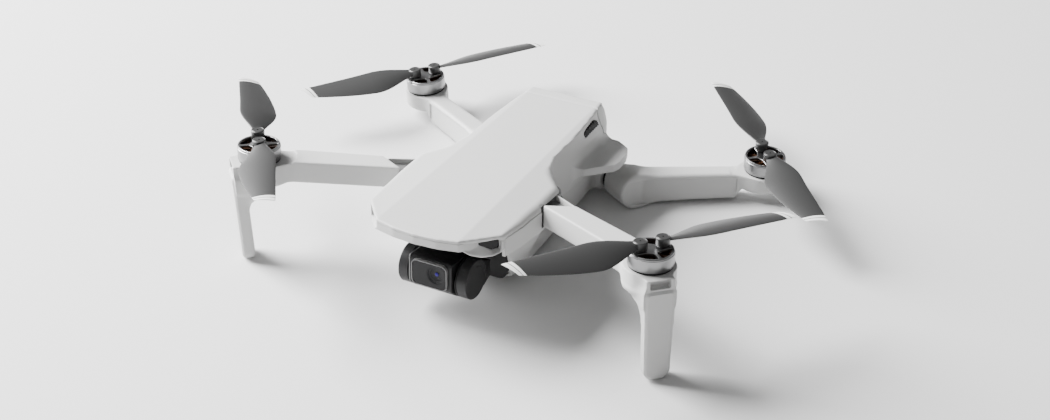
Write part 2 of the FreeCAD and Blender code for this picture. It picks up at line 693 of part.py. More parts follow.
def blade_pivot(origin, axis, headings, which):
    """A point on a blade's own pivot, at the bell's top face."""
    bridge = bridge_heading(headings)
    offset = V(BLADE_PIVOT_OFFSET * (1 if which == 0 else -1), 0, 0)
    return motor_placement(origin, axis, bridge).multVec(offset)


def bridge_heading(headings):
    """Direction of the bridge that carries both blades."""
    return (headings[0] + headings[1] + 180) / 2


def make_propeller(origin, axis, headings, spin):
    """The two blades of one motor, as a list."""
    blades = []
    for which in (0, 1):
        pivot = blade_pivot(origin, axis, headings, which)
        blades.append(on_motor(make_blade(spin), pivot, axis, headings[which]))
    return blades


# ---- gimbal ----

def make_damper_plate():
    plate = slab((-14, -72, 37.0), (14, -49.2, 38.0))
    return plate.cut(rod(3.0, V(0, YAW_AXIS_Y, 30), V(0, YAW_AXIS_Y, 40)))


def make_dampers():
    balls = [rod(1.8, V(x, y, 38.0), V(x, y, 39.8)) for x in (-11, 11) for y in (-68, -53)]
    return Part.makeCompound(balls)


def make_yaw_motor():
    axis = V(0, YAW_AXIS_Y, 0)
    body = rod(7.0, axis + V(0, 0, 33.4), axis + V(0, 0, 36.95))
    neck = rod(2.95, axis + V(0, 0, 36.9), axis + V(0, 0, 38.4))
    return body.fuse(neck).removeSplitter()


def make_yaw_bracket():
    """Turns under the yaw motor and drops behind the camera to the roll motor."""
    axis = V(0, YAW_AXIS_Y, 0)
    cap = rod(7.4, axis + V(0, 0, 31.0), axis + V(0, 0, 33.2))
    back = slab((-5, -50.6, 21), (5, -48.9, 33.2))
    link = slab((-5, -55, 31.0), (5, -48.9, 33.2))
    ring = rod(6.0, V(0, -50.6, GIMBAL.z), V(0, -48.9, GIMBAL.z))
    return joined([cap, back, link, ring])


def make_roll_motor():
    return rod(5.6, V(0, -53.4, GIMBAL.z), V(0, -50.65, GIMBAL.z))


def make_roll_bracket():
    """Crossbar behind the camera with a side plate to each pitch disc."""
    bar = slab((-PITCH_DISC_OUTER, -56.0, 16.2), (PITCH_DISC_OUTER, -54.2, 21.6))
    disc = rod(3.8, V(0, -56.0, GIMBAL.z), V(0, -53.7, GIMBAL.z))
    plates = []
    for side in (-1, 1):
        inner = side * 12.4
        outer = side * PITCH_DISC_OUTER
        profile = [(-54.2, 15.4), (-54.2, 22.4), (-59.4, 24.6), (-59.4, 13.2)]
        plates.append(side_prism(profile, inner, outer))
    bracket = joined([bar, disc] + plates)
    room = rod(PITCH_DISC_RADIUS + 0.02, GIMBAL - V(30, 0, 0), GIMBAL + V(30, 0, 0))
    return bracket.cut(room)


def make_pitch_disc(side):
    start = GIMBAL + V(side * PITCH_DISC_INNER, 0, 0)
    disc = rod(PITCH_DISC_RADIUS, start, GIMBAL + V(side * PITCH_DISC_OUTER, 0, 0))
    return disc.cut(rod(2.0 + RUNNING_GAP, start, start + V(side * 2.4, 0, 0)))


def camera_outline(grow):
    """Side view of the camera housing (y, z) about the pitch axis: flat front, rounded back."""
    front = -CAMERA_FRONT - grow + 1.2
    points = [(front, GLASS_RISE - 5.7), (front + 1.8, GLASS_RISE - 7.6)]
    for i in range(9):
        angle = math.radians(-75 + 17 * i)
        points.append((8.2 * math.cos(angle), 8.2 * math.sin(angle)))
    points += [(front + 2.4, 8.1), (front, GLASS_RISE + 5.0)]
    return [(GIMBAL.y + y, GIMBAL.z + z) for y, z in points]


def make_camera_housing():
    body = side_prism(camera_outline(0), -CAMERA_HALF, CAMERA_HALF)
    stubs = [rod(2.0, GIMBAL + V(s * CAMERA_HALF, 0, 0), GIMBAL + V(s * 12.4, 0, 0)) for s in (-1, 1)]
    body = joined([body] + stubs)
    return body.cut(lens_tube(0.0))


def lens_centre():
    return GIMBAL + LENS_CENTRE


def lens_tube(grow):
    front = V(lens_centre().x, GIMBAL.y - CAMERA_FRONT + 1.0, lens_centre().z)
    return rod(4.2 + grow, front, front + V(0, 7, 0))


def make_lens_barrel():
    front = V(lens_centre().x, GIMBAL.y - CAMERA_FRONT + 1.6, lens_centre().z)
    barrel = rod(4.2, front, front + V(0, 6.4, 0))
    return barrel.cut(Part.makeCone(3.2, 1.4, 1.6, front, V(0, 1, 0)))


def camera_front_box(half_width, half_height, near, far):
    y = GIMBAL.y - CAMERA_FRONT
    z = GIMBAL.z + GLASS_RISE
    box = slab((-half_width, y + near, z - half_height), (half_width, y + far, z + half_height))
    return box.makeFillet(2.0, [e for e in box.Edges if abs(e.BoundBox.YLength - (far - near)) < 0.01])


def make_camera_rim():
    outer = camera_front_box(GLASS_HALF_WIDTH + 0.6, GLASS_HALF_HEIGHT + 0.6, -0.2, 1.2)
    return outer.cut(camera_front_box(GLASS_HALF_WIDTH, GLASS_HALF_HEIGHT, -1, 2))


def make_camera_glass():
    return camera_front_box(GLASS_HALF_WIDTH, GLASS_HALF_HEIGHT, 0.0, 1.2)


def make_gimbal_ribbon():
    """Flat flexible cable from the roll motor up to the damper plate, clear of the bracket's turn."""
    left, right = 8.6, 13.0
    hanging = slab((left, -48.2, 24.0), (right, -47.9, 34.0))
    step = slab((left, -49.6, 34.0), (right, -47.9, 34.3))
    riser = slab((left, -49.6, 34.0), (right, -49.3, 36.98))
    return joined([hanging, step, riser])


# ---- assembly ----

def make_nodes():
    nodes = {
        "top_shell": make_top_shell(),
        "middle_frame": make_middle_frame(),
        "nose_fascia": make_nose_fascia(),
        "corner_windows": make_corner_windows(),
        "hull_shell": make_hull_shell(),
        "belly_plate": make_belly_plate(),
        "vision_lenses": make_vision_lenses(),
        "infrared_sensors": make_infrared_sensors(),
        "battery_lights": make_battery_lights(),
        "power_button": make_power_button(),
        "side_vents": make_side_vents(),
        "port_block": make_port_block(),
        "battery_door": make_battery_door(),
        "door_pin": make_door_pin(),
        "battery": make_battery(),
        "main_board": make_main_board(),
        "heat_sink": make_heat_sink(),
        "cooling_fan": make_cooling_fan(),
        "satellite_antenna": make_satellite_antenna(),
        "shell_screws": make_shell_screws(),
        "front_arm_pins": make_front_arm_pins(),
        "rear_arm_pins": make_rear_arm_pins(),
        "gimbal_damper_plate": make_damper_plate(),
        "gimbal_dampers": make_dampers(),
        "gimbal_ribbon": make_gimbal_ribbon(),
        "yaw_motor": make_yaw_motor(),
        "yaw_bracket": make_yaw_bracket(),
        "roll_motor": make_roll_motor(),
        "roll_bracket": make_roll_bracket(),
        "pitch_disc_right": make_pitch_disc(1),
        "pitch_disc_left": make_pitch_disc(-1),
        "camera_housing": make_camera_housing(),
        "lens_barrel": make_lens_barrel(),
        "camera_rim": make_camera_rim(),
        "camera_glass": make_camera_glass(),
    }
    add_sides(nodes, "front_arm", make_front_arm())
    add_sides(nodes, "rear_arm", make_rear_arm())
    add_motor(nodes, "front", FRONT_MOTOR, V(0, 0, 1), FRONT_BLADES, -1)
    add_motor(nodes, "rear", REAR_MOTOR, rear_tilt(), REAR_BLADES, 1)
    return nodes


def add_sides(nodes, name, right_shape):
    nodes[name + "_right"] = right_shape
    nodes[name + "_left"] = mirrored(right_shape)


def add_motor(nodes, end, origin, axis, headings, spin):
    heading = bridge_heading(headings)
    add_sides(nodes, end + "_stator", on_motor(make_stator(), origin, axis, heading))
    add_sides(nodes, end + "_bell", on_motor(make_bell(), origin, axis, heading))
    add_sides(nodes, end + "_blade_screws", on_motor(make_blade_screws(), origin, axis, heading))
    for which, blade in enumerate(make_propeller(origin, axis, headings, spin)):
        add_sides(nodes, end + "_blade_" + "ab"[which], blade)


def stance_placement(nodes):
    """Pitches the level craft onto its feet, then puts its box's bottom centre at the origin."""
    pitch = FreeCAD.Placement(V(0, 0, 0), FreeCAD.Rotation(V(1, 0, 0), -STANCE))
    box = FreeCAD.BoundBox()
    for shape in nodes.values():
        moved = shape.copy()
        moved.Placement = pitch.multiply(moved.Placement)
        box.add(moved.optimalBoundingBox(False, False))
    shift = FreeCAD.Placement(V(-box.Center.x, -box.Center.y, -box.ZMin), FreeCAD.Rotation())
    return shift.multiply(pitch)


NODES = make_nodes()
STAND = stance_placement(NODES)
os.makedirs("parts", exist_ok=True)
for node_name, node_shape in NODES.items():
    node_shape.Placement = STAND.multiply(node_shape.Placement)
    node_shape.exportStep("parts/" + node_name + ".step")
print(len(NODES), "nodes; stance", round(STANCE, 3), "degrees; origin shift", STAND.Base)
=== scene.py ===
import json
import math

import bpy
import numpy as np
from mathutils import Matrix, Vector


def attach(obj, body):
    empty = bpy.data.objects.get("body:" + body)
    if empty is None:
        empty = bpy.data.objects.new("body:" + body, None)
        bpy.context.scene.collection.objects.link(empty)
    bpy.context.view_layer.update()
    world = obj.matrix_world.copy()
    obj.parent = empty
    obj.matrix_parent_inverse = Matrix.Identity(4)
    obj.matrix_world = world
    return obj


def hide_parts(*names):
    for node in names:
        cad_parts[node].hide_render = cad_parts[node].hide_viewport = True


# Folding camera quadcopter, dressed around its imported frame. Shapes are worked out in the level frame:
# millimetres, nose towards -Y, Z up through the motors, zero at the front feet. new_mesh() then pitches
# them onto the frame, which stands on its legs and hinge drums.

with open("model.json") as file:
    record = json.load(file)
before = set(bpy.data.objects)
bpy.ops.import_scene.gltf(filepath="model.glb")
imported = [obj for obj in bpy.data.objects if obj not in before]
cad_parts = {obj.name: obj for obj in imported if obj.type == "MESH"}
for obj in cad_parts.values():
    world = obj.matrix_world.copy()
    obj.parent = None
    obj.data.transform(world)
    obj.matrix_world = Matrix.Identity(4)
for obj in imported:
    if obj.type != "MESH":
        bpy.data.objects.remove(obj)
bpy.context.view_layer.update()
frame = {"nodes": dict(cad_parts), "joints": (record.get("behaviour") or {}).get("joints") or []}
JOINTS = {joint["name"]: joint for joint in frame["joints"]}
MM = 0.001

# ---- sizes shared with the frame, millimetres ----

FRONT_MOTOR = (87.6, -62.7, 51.8)       # centre of the bell's top face
REAR_MOTOR = (84.5, 62.7, 34.5)
MOTORS = {"front": FRONT_MOTOR, "rear": REAR_MOTOR}
BELL_RADIUS = 8.85
BELL_HEIGHT = 6.0
BELL_GAP = 0.7
POD_RADIUS = 9.9
BLADE_PIVOT = 4.65                      # bell axis to a blade's own pivot
BLADE_TIP = 58.2                        # bell axis to the blade's tip
HEADINGS = {"front": (50.0, -128.0), "rear": (133.0, -47.0)}
SPIN = {"front": -1, "rear": 1}

WALL = 1.3
ROOF_Y, ROOF_Z, ROOF_RISE = -90.0, 45.14, 0.0569
ROOF_HALF, ROOF_TAPER = 18.2, 0.01667
ROOF_SIDE_FALL = 0.139
PLAN = [(0, -86.5), (9.5, -85.8), (18.1, -83.7), (29.6, -70.0), (31.7, -58), (32.8, -43), (32.6, -28),
        (22.4, -17.2), (20.2, -9), (20, 30), (19.3, 40), (17.6, 46.4), (0, 47.6)]
PLAN_RADII = [0, 6, 0.8, 2.5, 12, 12, 5, 3.5, 6, 20, 6, 4, 0]
TAIL_BACK = [(-120, -20), (46.4, -20), (46.4, 10), (47.6, 30), (47.0, 40), (44.4, 48.2), (41.4, 52.2),
             (41.4, 80), (-120, 80)]
SEAM = 0.1                              # half of the gap along a parting line
NOSE_SEAM = 0.03
DOOR_GAP = 0.3
CREASE_SEAM = 0.2
SEAM_WAIST = 26.8
CREASE = 34.6                           # where the hull's sides turn inwards
SHOULDER_END = -17.0
BROW_LOW = 40.8
NOSE_END = -68.6
TAIL_LEAN = 0.2                         # how far the tail's walls come in as they rise
HULL_HALF = 18.0
HULL_Y = [-62, -41, -35, -21, -12, 19, 46.5]
HULL_BOTTOM = [8.2, 8.2, 8.2, 8.2, 9.2, 13.3, 17.0]
HULL_CREASE = [28.0, 32.0, 30.8, 21.6, 20.9, 20.7, 20.2]
BAY_WALL = -44.0
ARM_PIVOT = (27.0, -28.0)
ARM_LOW, ARM_HIGH = 36.5, 46.0
SLOT_GAP = 0.35
PIN_BORE = 2.05                         # radius of the holes that the arms' pins run in
REAR_ROOT = (33.0, 34.0, 20.0)
REAR_AXIS_ANGLE = math.radians(-31.0)
DRUM_RADIUS, DRUM_HALF = 7.3, 7.5
FOOT = (93.5, -67.0)
LEG_OUT = (math.sqrt(0.5), -math.sqrt(0.5))
GROUND_SLOPE = math.tan(math.radians(6.892))
GIMBAL = (0.0, -65.3, 18.9)
DOOR_PIN = (45.6, 19.4)
DOOR_BOTTOM = 18.6


# ---- level frame to standing frame ----

def stand_matrix():
    """Pitches the level frame so that its Z is the front arms' fold axis, and meets the right motor."""
    up = Vector(JOINTS["front_arm_fold_right"]["axis"])
    ahead = up.cross(Vector((1, 0, 0)))
    turn = Matrix((Vector((1, 0, 0)), ahead, up)).transposed()
    motor = Vector(JOINTS["front_spin_right"]["pos_m"]) / MM
    move = motor - turn @ Vector(FRONT_MOTOR)
    return Matrix.Translation(move) @ turn.to_4x4()


STAND = stand_matrix()
TO_METRES = Matrix.Scale(MM, 4) @ STAND


# ---- distance fields: negative inside, in millimetres; every argument is a number or an array ----

def smax(a, b, k):
    """Larger of two distances, with the edge between them rounded over k."""
    h = np.maximum(k - np.abs(a - b), 0) / k
    return np.maximum(a, b) + h * h * k * 0.25


def smin(a, b, k):
    return -smax(-a, -b, k)


def cut(body, tool):
    """A body with a tool's volume taken out of it, the edge left sharp."""
    return np.maximum(body, -tool)


def between(value, low, high):
    """Distance from a span of one coordinate, negative within it."""
    return np.abs(value - (low + high) / 2) - (high - low) / 2


def radial(a, b):
    return np.sqrt(a * a + b * b)


def ramp(value, start, end):
    """Rises smoothly from 0 at start to 1 at end."""
    t = np.clip((value - start) / (end - start), 0, 1)
    return t * t * (3 - 2 * t)


def outline(u, v, points):
    """Distance to a closed polygon in a plane."""
    nearest = np.inf
    inside = False
    for (au, av), (bu, bv) in zip(points, points[1:] + points[:1]):
        eu, ev = bu - au, bv - av
        wu, wv = u - au, v - av
        t = np.clip((wu * eu + wv * ev) / (eu * eu + ev * ev), 0, 1)
        nearest = np.minimum(nearest, (wu - eu * t) ** 2 + (wv - ev * t) ** 2)
        if ev != 0:
            inside = inside ^ (((av > v) != (bv > v)) & (u < eu * (v - av) / ev + au))
    distance = np.sqrt(nearest)
    return np.where(inside, -distance, distance)


def rounded(points, radii, steps=6):
    """A polygon with arcs in place of its corners."""
    if not isinstance(radii, (list, tuple)):
        radii = [radii] * len(points)
    result = []
    for i, (corner, radius) in enumerate(zip(points, radii)):
        here = np.array(corner, float)
        before = np.array(points[i - 1], float) - here
        after = np.array(points[(i + 1) % len(points)], float) - here
        reach_limit = 0.49 * min(np.linalg.norm(before), np.linalg.norm(after))
        before /= np.linalg.norm(before)
        after /= np.linalg.norm(after)
        half = math.acos(float(np.clip(before @ after, -1, 1))) / 2
        reach = min(radius / math.tan(half), reach_limit) if half > 0.01 else 0
        if reach < 0.05 or half > 1.56:
            result.append(tuple(here))
            continue
        radius = reach * math.tan(half)
        middle = (before + after) / np.linalg.norm(before + after)
        centre = here + middle * (radius / math.sin(half))
        first = here + before * reach - centre
        last = here + after * reach - centre
        turn = math.atan2(first[0] * last[1] - first[1] * last[0], first @ last)
        for s in range(steps + 1):
            a = turn * s / steps
            c, n = math.cos(a), math.sin(a)
            result.append((centre[0] + first[0] * c - first[1] * n, centre[1] + first[0] * n + first[1] * c))
    return result


def full_plan(points, radii):
    """The whole rounded outline of a plan whose right half is given."""
    left = [((-x, y), radius) for (x, y), radius in zip(points[::-1], radii[::-1]) if x > 0]
    return rounded(points + [corner for corner, _ in left], radii + [radius for _, radius in left])


def ground_height(y):
    """Height of the ground in the level frame, where it slopes because the craft stands nose up."""
    return (y - FOOT[1]) * GROUND_SLOPE


def slab_field(x, y, z, low, high, k=0.3):
    dx, dy, dz = (between(*row) for row in zip((x, y, z), low, high))
    return smax(smax(dx, dy, k), dz, k)


def rod_field(x, y, z, start, end, radius, k=0.3):
    """Cylinder between two points, its end edges rounded over k."""
    start, end = np.array(start, float), np.array(end, float)
    length = np.linalg.norm(end - start)
    along = (end - start) / length
    wx, wy, wz = x - start[0], y - start[1], z - start[2]
    t = wx * along[0] + wy * along[1] + wz * along[2]
    away = np.sqrt(np.maximum(wx * wx + wy * wy + wz * wz - t * t, 1e-12))
    return smax(away - radius, np.abs(t - length / 2) - length / 2, k)


BODY_PLAN = full_plan(PLAN, PLAN_RADII)
TAIL_OUTLINE = rounded(TAIL_BACK, [0, 0, 2, 20, 20, 5, 2.5, 0, 0])


# ---- dual contouring: a mesh of quads on a field's zero surface ----

CUBE_EDGES = [(axis, a, b) for axis in range(3) for a in (0, 1) for b in (0, 1)]
SHARPNESS = 0.06                        # how strongly a vertex is held to its cell's middle crossing


def gradient(field, points, step=0.03):
    result = np.zeros_like(points)
    for axis in range(3):
        ahead, behind = points.copy(), points.copy()
        ahead[:, axis] += step
        behind[:, axis] -= step
        result[:, axis] = field(*ahead.T) - field(*behind.T)
    length = np.linalg.norm(result, axis=1, keepdims=True)
    return result / np.maximum(length, 1e-9)


def crossings(values, low, voxel):
    """For each axis, an array of crossing numbers on the grid's edges, and every crossing's place."""
    tables, places, total = [], [], 0
    for axis in range(3):
        first = np.take(values, range(values.shape[axis] - 1), axis=axis)
        second = np.take(values, range(1, values.shape[axis]), axis=axis)
        where = (first < 0) != (second < 0)
        cells = np.argwhere(where).astype(float)
        a, b = first[where], second[where]
        cells[:, axis] += a / (a - b)
        table = np.full(where.shape, -1, np.int32)
        table[where] = np.arange(total, total + len(cells))
        total += len(cells)
        tables.append(table)
        places.append(low + cells * voxel)
    return tables, np.concatenate(places)


def cell_edges(table, axis, a, b, shape):
    """The part of a crossing table that holds one of the twelve edges of every cell."""
    offsets = [a, b]
    offsets.insert(axis, 0)
    return table[tuple(slice(o, o + n) for o, n in zip(offsets, shape))]


def contour(field, low, high, voxel):
    """Vertices and quads of the surface where a field is zero, sharp edges kept."""
    low = np.array(low, float)
    counts = np.ceil((np.array(high, float) - low) / voxel).astype(int) + 1
    axes = [low[i] + voxel * np.arange(counts[i]) for i in range(3)]
    grid = field(axes[0][:, None, None], axes[1][None, :, None], axes[2][None, None, :])
    values = np.ascontiguousarray(np.broadcast_to(grid, tuple(counts)))
    tables, places = crossings(values, low, voxel)
    normals = gradient(field, places)
    shape = tuple(counts - 1)
    used = np.zeros(shape, bool)
    for axis, a, b in CUBE_EDGES:
        used |= cell_edges(tables[axis], axis, a, b, shape) >= 0
    cells = np.argwhere(used)
    rows = [cell_edges(tables[axis], axis, a, b, shape)[used] for axis, a, b in CUBE_EDGES]
    count = sum((row >= 0).astype(float) for row in rows)[:, None]
    middle = sum(np.where((row >= 0)[:, None], places[row], 0) for row in rows) / count
    square = np.zeros((len(cells), 3, 3)) + np.eye(3) * SHARPNESS
    pull = np.zeros((len(cells), 3))
    for row in rows:
        n = np.where((row >= 0)[:, None], normals[row], 0)
        square += n[:, :, None] * n[:, None, :]
        pull += n * np.sum(n * (places[row] - middle), axis=1, keepdims=True)
    vertices = middle + np.linalg.solve(square, pull[:, :, None])[:, :, 0]
    corner = low + cells * voxel
    vertices = np.clip(vertices, corner, corner + voxel)
    number = np.full(shape, -1, np.int64)
    number[used] = np.arange(len(cells))
    return vertices, contour_quads(tables, values, number)


def contour_quads(tables, values, number):
    quads = []
    for axis in range(3):
        u, v = (axis + 1) % 3, (axis + 2) % 3
        spots = np.argwhere(tables[axis] >= 0)
        across = spots[:, [u, v]]
        spots = spots[np.all((across > 0) & (across < (number.shape[u], number.shape[v])), axis=1)]
        ring = []
        for du, dv in ((-1, -1), (0, -1), (0, 0), (-1, 0)):
            cell = spots.copy()
            cell[:, u] += du
            cell[:, v] += dv
            ring.append(number[tuple(cell.T)])
        ring = np.stack(ring, axis=1)
        outward = values[tuple(spots.T)] < 0
        quads.append(np.where(outward[:, None], ring, ring[:, ::-1]))
    return np.concatenate(quads)


# ---- from arrays to pieces ----

def new_mesh(name, vertices, faces, mirror=False, uv=None):
    """A mesh in metres in the standing frame, from level-frame vertices and equal-sided faces."""
    vertices = np.array(vertices, float)
    faces = np.array(faces, np.int64)
    if mirror:
        vertices = vertices * (-1, 1, 1)
        faces = faces[:, ::-1]
    vertices = moved(vertices, TO_METRES)
    mesh = bpy.data.meshes.new(name)
    mesh.vertices.add(len(vertices))
    mesh.vertices.foreach_set("co", vertices.ravel())
    mesh.loops.add(faces.size)
    mesh.loops.foreach_set("vertex_index", faces.ravel())
    mesh.polygons.add(len(faces))
    mesh.polygons.foreach_set("loop_start", np.arange(0, faces.size, faces.shape[1]))
    mesh.update(calc_edges=True)
    mesh.validate()
    if uv is not None:
        layer = mesh.uv_layers.new(name="span")
        layer.data.foreach_set("uv", np.array(uv, float)[faces.ravel()].ravel())
    mesh.polygons.foreach_set("use_smooth", np.ones(len(mesh.polygons), bool))
    mesh.set_sharp_from_angle(angle=math.radians(38))
    return mesh


def new_object(name, data):
    obj = bpy.data.objects.new(name, data)
    bpy.context.scene.collection.objects.link(obj)
    return obj


def piece(name, mesh, body, slot, nodes=(), material=None):
    """Adds a mesh as a piece that rides on a body, with its slot's material unless one is given."""
    obj = new_object(name, mesh)
    mesh.materials.append(material or MATERIALS[slot])
    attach(obj, body)
    if nodes:
        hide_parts(*nodes)


def sculpt(name, field, low, high, voxel, body, slot, nodes=(), material=None):
    piece(name, new_mesh(name, *contour(field, low, high, voxel)), body, slot, nodes, material)


SIDES = ("right", "left")


def pair(name, vertices, faces, body, slot, nodes=(), material=None, uv=None, sides=SIDES):
    """A right-hand piece and its mirror image; every name takes the side where it has {}."""
    for side in sides:
        mesh = new_mesh(name.format(side), vertices, faces, side == "left", uv)
        piece(name.format(side), mesh, body.format(side), slot, [n.format(side) for n in nodes], material)


def sculpt_pair(name, field, low, high, voxel, body, slot, nodes=(), material=None):
    pair(name, *contour(field, low, high, voxel), body, slot, nodes, material)


def ring_quads(rings, around, count):
    """Quads from each of the first rings of points to the next; a ring closes on itself."""
    quads = []
    for r in range(count):
        here, there = r * around, (r + 1) % rings * around
        for i in range(around):
            j = (i + 1) % around
            quads.append((here + i, there + i, there + j, here + j))
    return quads


def lathe(profile, steps=64):
    """Vertices and quads of a closed (radius, height) profile turned about Z."""
    count = len(profile)
    turns = np.arange(steps) * (2 * math.pi / steps)
    radius, height = np.array(profile, float).T
    vertices = np.stack([np.outer(np.cos(turns), radius), np.outer(np.sin(turns), radius),
                         np.broadcast_to(height, (steps, count))], axis=2).reshape(-1, 3)
    return vertices, np.array(ring_quads(steps, count, steps))


def moved(vertices, matrix):
    turn = np.array(matrix)
    return np.array(vertices) @ turn[:3, :3].T + turn[:3, 3]


def joined(*parts):
    """Several (vertices, faces) pairs as one."""
    vertices, faces, start = [], [], 0
    for part_vertices, part_faces in parts:
        vertices.append(np.array(part_vertices))
        faces.append(np.array(part_faces) + start)
        start += len(part_vertices)
    return np.concatenate(vertices), np.concatenate(faces)


# ---- materials ----

class Look:
    """A material under construction, patterned in its object's own coordinates."""

    def __init__(self, name, colour, roughness, metallic=0.0, specular=0.5):
        self.material = bpy.data.materials.new(name)
        self.material.use_nodes = True
        self.nodes, self.links = self.material.node_tree.nodes, self.material.node_tree.links
        self.shader = self.nodes["Principled BSDF"]
        start = {"Base Color": (*colour, 1), "Roughness": roughness, "Metallic": metallic,
                 "Specular IOR Level": specular}
        for socket, value in start.items():
            self.shader.inputs[socket].default_value = value
        self.place = self.node("TexCoord").outputs["Object"]

    def wire(self, value, socket):
        self.links.new(value, self.shader.inputs[socket])

    def node(self, kind, **inputs):
        """A new shader node; an input's name is written with _ for each space."""
        node = self.nodes.new("ShaderNode" + kind)
        for key, value in inputs.items():
            node.inputs[key.replace("_", " ")].default_value = value
        return node

    def noise(self, scale, detail, stretch=(1, 1, 1)):
        spread = self.node("Mapping", Scale=stretch)
        self.links.new(self.place, spread.inputs["Vector"])
        texture = self.node("TexNoise", Scale=scale, Detail=detail)
        self.links.new(spread.outputs["Vector"], texture.inputs["Vector"])
        return texture.outputs["Fac"]

    def sheen(self, value, low, high):
        """Roughness that a value moves between two bounds."""
        spread = self.node("MapRange", To_Min=low, To_Max=high)
        self.links.new(value, spread.inputs["Value"])
        self.wire(spread.outputs["Result"], "Roughness")

    def tint(self, value, colour, dark, light):
        """Base colour that a value moves between two shades of one colour."""
        mix = self.node("Mix")
        mix.data_type = "RGBA"
        mix.inputs["A"].default_value = (*(c * dark for c in colour), 1)
        mix.inputs["B"].default_value = (*(c * light for c in colour), 1)
        self.links.new(value, mix.inputs["Factor"])
        self.wire(mix.outputs["Result"], "Base Color")

    def relief(self, value, depth, strength=1.0):
        bump = self.node("Bump", Distance=depth, Strength=strength)
        self.links.new(value, bump.inputs["Height"])
        self.wire(bump.outputs["Normal"], "Normal")


def plastic(name, colour, roughness=0.45, grain=5200, depth=0.00003, mottle=0.03, specular=0.4):
    """Moulded plastic: fine spark-eroded grain, faint colour drift and uneven sheen."""
    look = Look(name, colour, roughness, specular=specular)
    look.tint(look.noise(38, 3), colour, 1 - mottle, 1 + mottle)
    fine = look.noise(grain, 3)
    look.sheen(fine, roughness - 0.07, roughness + 0.07)
    look.relief(fine, depth, 0.5)
    return look.material


def metal(name, colour, roughness=0.3):
    """Turned or brushed metal: fine lines across one axis."""
    look = Look(name, colour, roughness, metallic=1.0)
    lines = look.noise(900, 6, (1, 1, 40))
    look.tint(lines, colour, 0.86, 1.06)
    look.sheen(lines, roughness - 0.08, roughness + 0.1)
    look.relief(lines, 0.000006, 0.4)
    return look.material


def gloss(name, colour, roughness=0.08):
    """Polished dark cover: faint dust and drift in its shine."""
    look = Look(name, colour, roughness, specular=0.22)
    dust = look.noise(260, 6)
    look.sheen(dust, roughness, roughness + 0.07)
    look.tint(dust, colour, 0.8, 1.25)
    return look.material


def wound_wire(name, colour):
    """Enamelled copper winding: close bands of wire."""
    look = Look(name, colour, 0.3, metallic=0.8)
    wave = look.node("TexWave", Scale=900, Distortion=0.6)
    wave.wave_type = "BANDS"
    wave.bands_direction = "Z"
    look.links.new(look.place, wave.inputs["Vector"])
    bands = wave.outputs["Fac"]
    look.tint(bands, colour, 0.35, 1.0)
    look.relief(bands, 0.00015)
    return look.material


BAND_START, BAND_END, LINE_START = 0.918, 0.952, 0.958      # shares of a blade's span


def blade_material(name, colour, band_colour):
    """Satin blade with a pale band and a pale edge at its tip; u runs along the span."""
    look = Look(name, colour, 0.38)
    spot = look.node("UVMap")
    spot.uv_map = "span"
    split = look.node("SeparateXYZ")
    look.links.new(spot.outputs["UV"], split.inputs["Vector"])
    steps = look.node("ValToRGB")
    steps.color_ramp.interpolation = "CONSTANT"
    marks = [(0.0, colour), (BAND_START, band_colour), (BAND_END, colour), (LINE_START, band_colour)]
    elements = steps.color_ramp.elements
    elements[0].position, elements[1].position = 0.0, BAND_START
    for position, _ in marks[2:]:
        elements.new(position)
    for element, (position, tone) in zip(elements, marks):
        element.position = position
        element.color = (*tone, 1)
    look.links.new(split.outputs["X"], steps.inputs["Fac"])
    look.wire(steps.outputs["Color"], "Base Color")
    fine = look.noise(5200, 3)
    look.sheen(fine, 0.32, 0.46)
    look.relief(fine, 0.00002, 0.4)
    return look.material


SHELL_COLOUR = (0.50, 0.50, 0.495)
MATERIALS = {
    "shell_grey": plastic("shell_plastic", SHELL_COLOUR, 0.48),
    "dark_plastic": plastic("dark_plastic", (0.009, 0.009, 0.0095), 0.42, mottle=0.08, specular=0.3),
    "blade_grey": blade_material("blade_plastic", (0.024, 0.024, 0.024), (0.66, 0.66, 0.65)),
    "gloss_black": gloss("gloss_black", (0.004, 0.004, 0.0045), 0.12),
    "clear_glass": gloss("front_glass", (0.006, 0.006, 0.0065), 0.08),
    "brushed_metal": metal("turned_aluminium", (0.27, 0.27, 0.273), 0.3),
    "steel": metal("machined_steel", (0.25, 0.25, 0.255), 0.32),
    "copper": wound_wire("copper_winding", (0.09, 0.032, 0.01)),
    "board_green": plastic("solder_mask", (0.015, 0.06, 0.03), 0.3, grain=900, depth=0.00006),
    "rubber": plastic("rubber", (0.02, 0.02, 0.02), 0.75, grain=2400),
    "cell_wrap": plastic("cell_wrap", (0.06, 0.06, 0.065), 0.4),
    "ceramic": plastic("ceramic", (0.62, 0.58, 0.5), 0.25, grain=2600),
    "light_guide": plastic("light_guide", (0.7, 0.72, 0.7), 0.3),
}
CHARCOAL = plastic("charcoal_face", (0.02, 0.02, 0.0205), 0.42, mottle=0.05, specular=0.3)
# Mid grey for the real frame round the camera glass, and for painted light: painted shade on the front arms'
# hinges and a painted highlight on the camera's left edge.
RIM_GREY_AND_PAINTED_LIGHT = plastic("rim_grey_and_painted_light", (0.15, 0.15, 0.15), 0.35)
# Black for the lens rings, and painted shade behind the side vent's ribs.
LENS_RING_AND_SHADE_BLACK = gloss("lens_ring_black_and_painted_shade", (0.006, 0.006, 0.007), 0.22)
LENS_TINT = gloss("lens_coating", (0.03, 0.018, 0.2), 0.08)


# ---- body ----

def crown(x, y, z):
    """Above the flat roof facet or the falling side facets."""
    height = ROOF_Z + (y - ROOF_Y) * ROOF_RISE
    half = ROOF_HALF - (y - ROOF_Y) * ROOF_TAPER
    flat = (z - height) * 0.9984
    side = (z - height + ROOF_SIDE_FALL * (np.abs(x) - half)) * 0.989
    return smax(flat, side, 0.05)


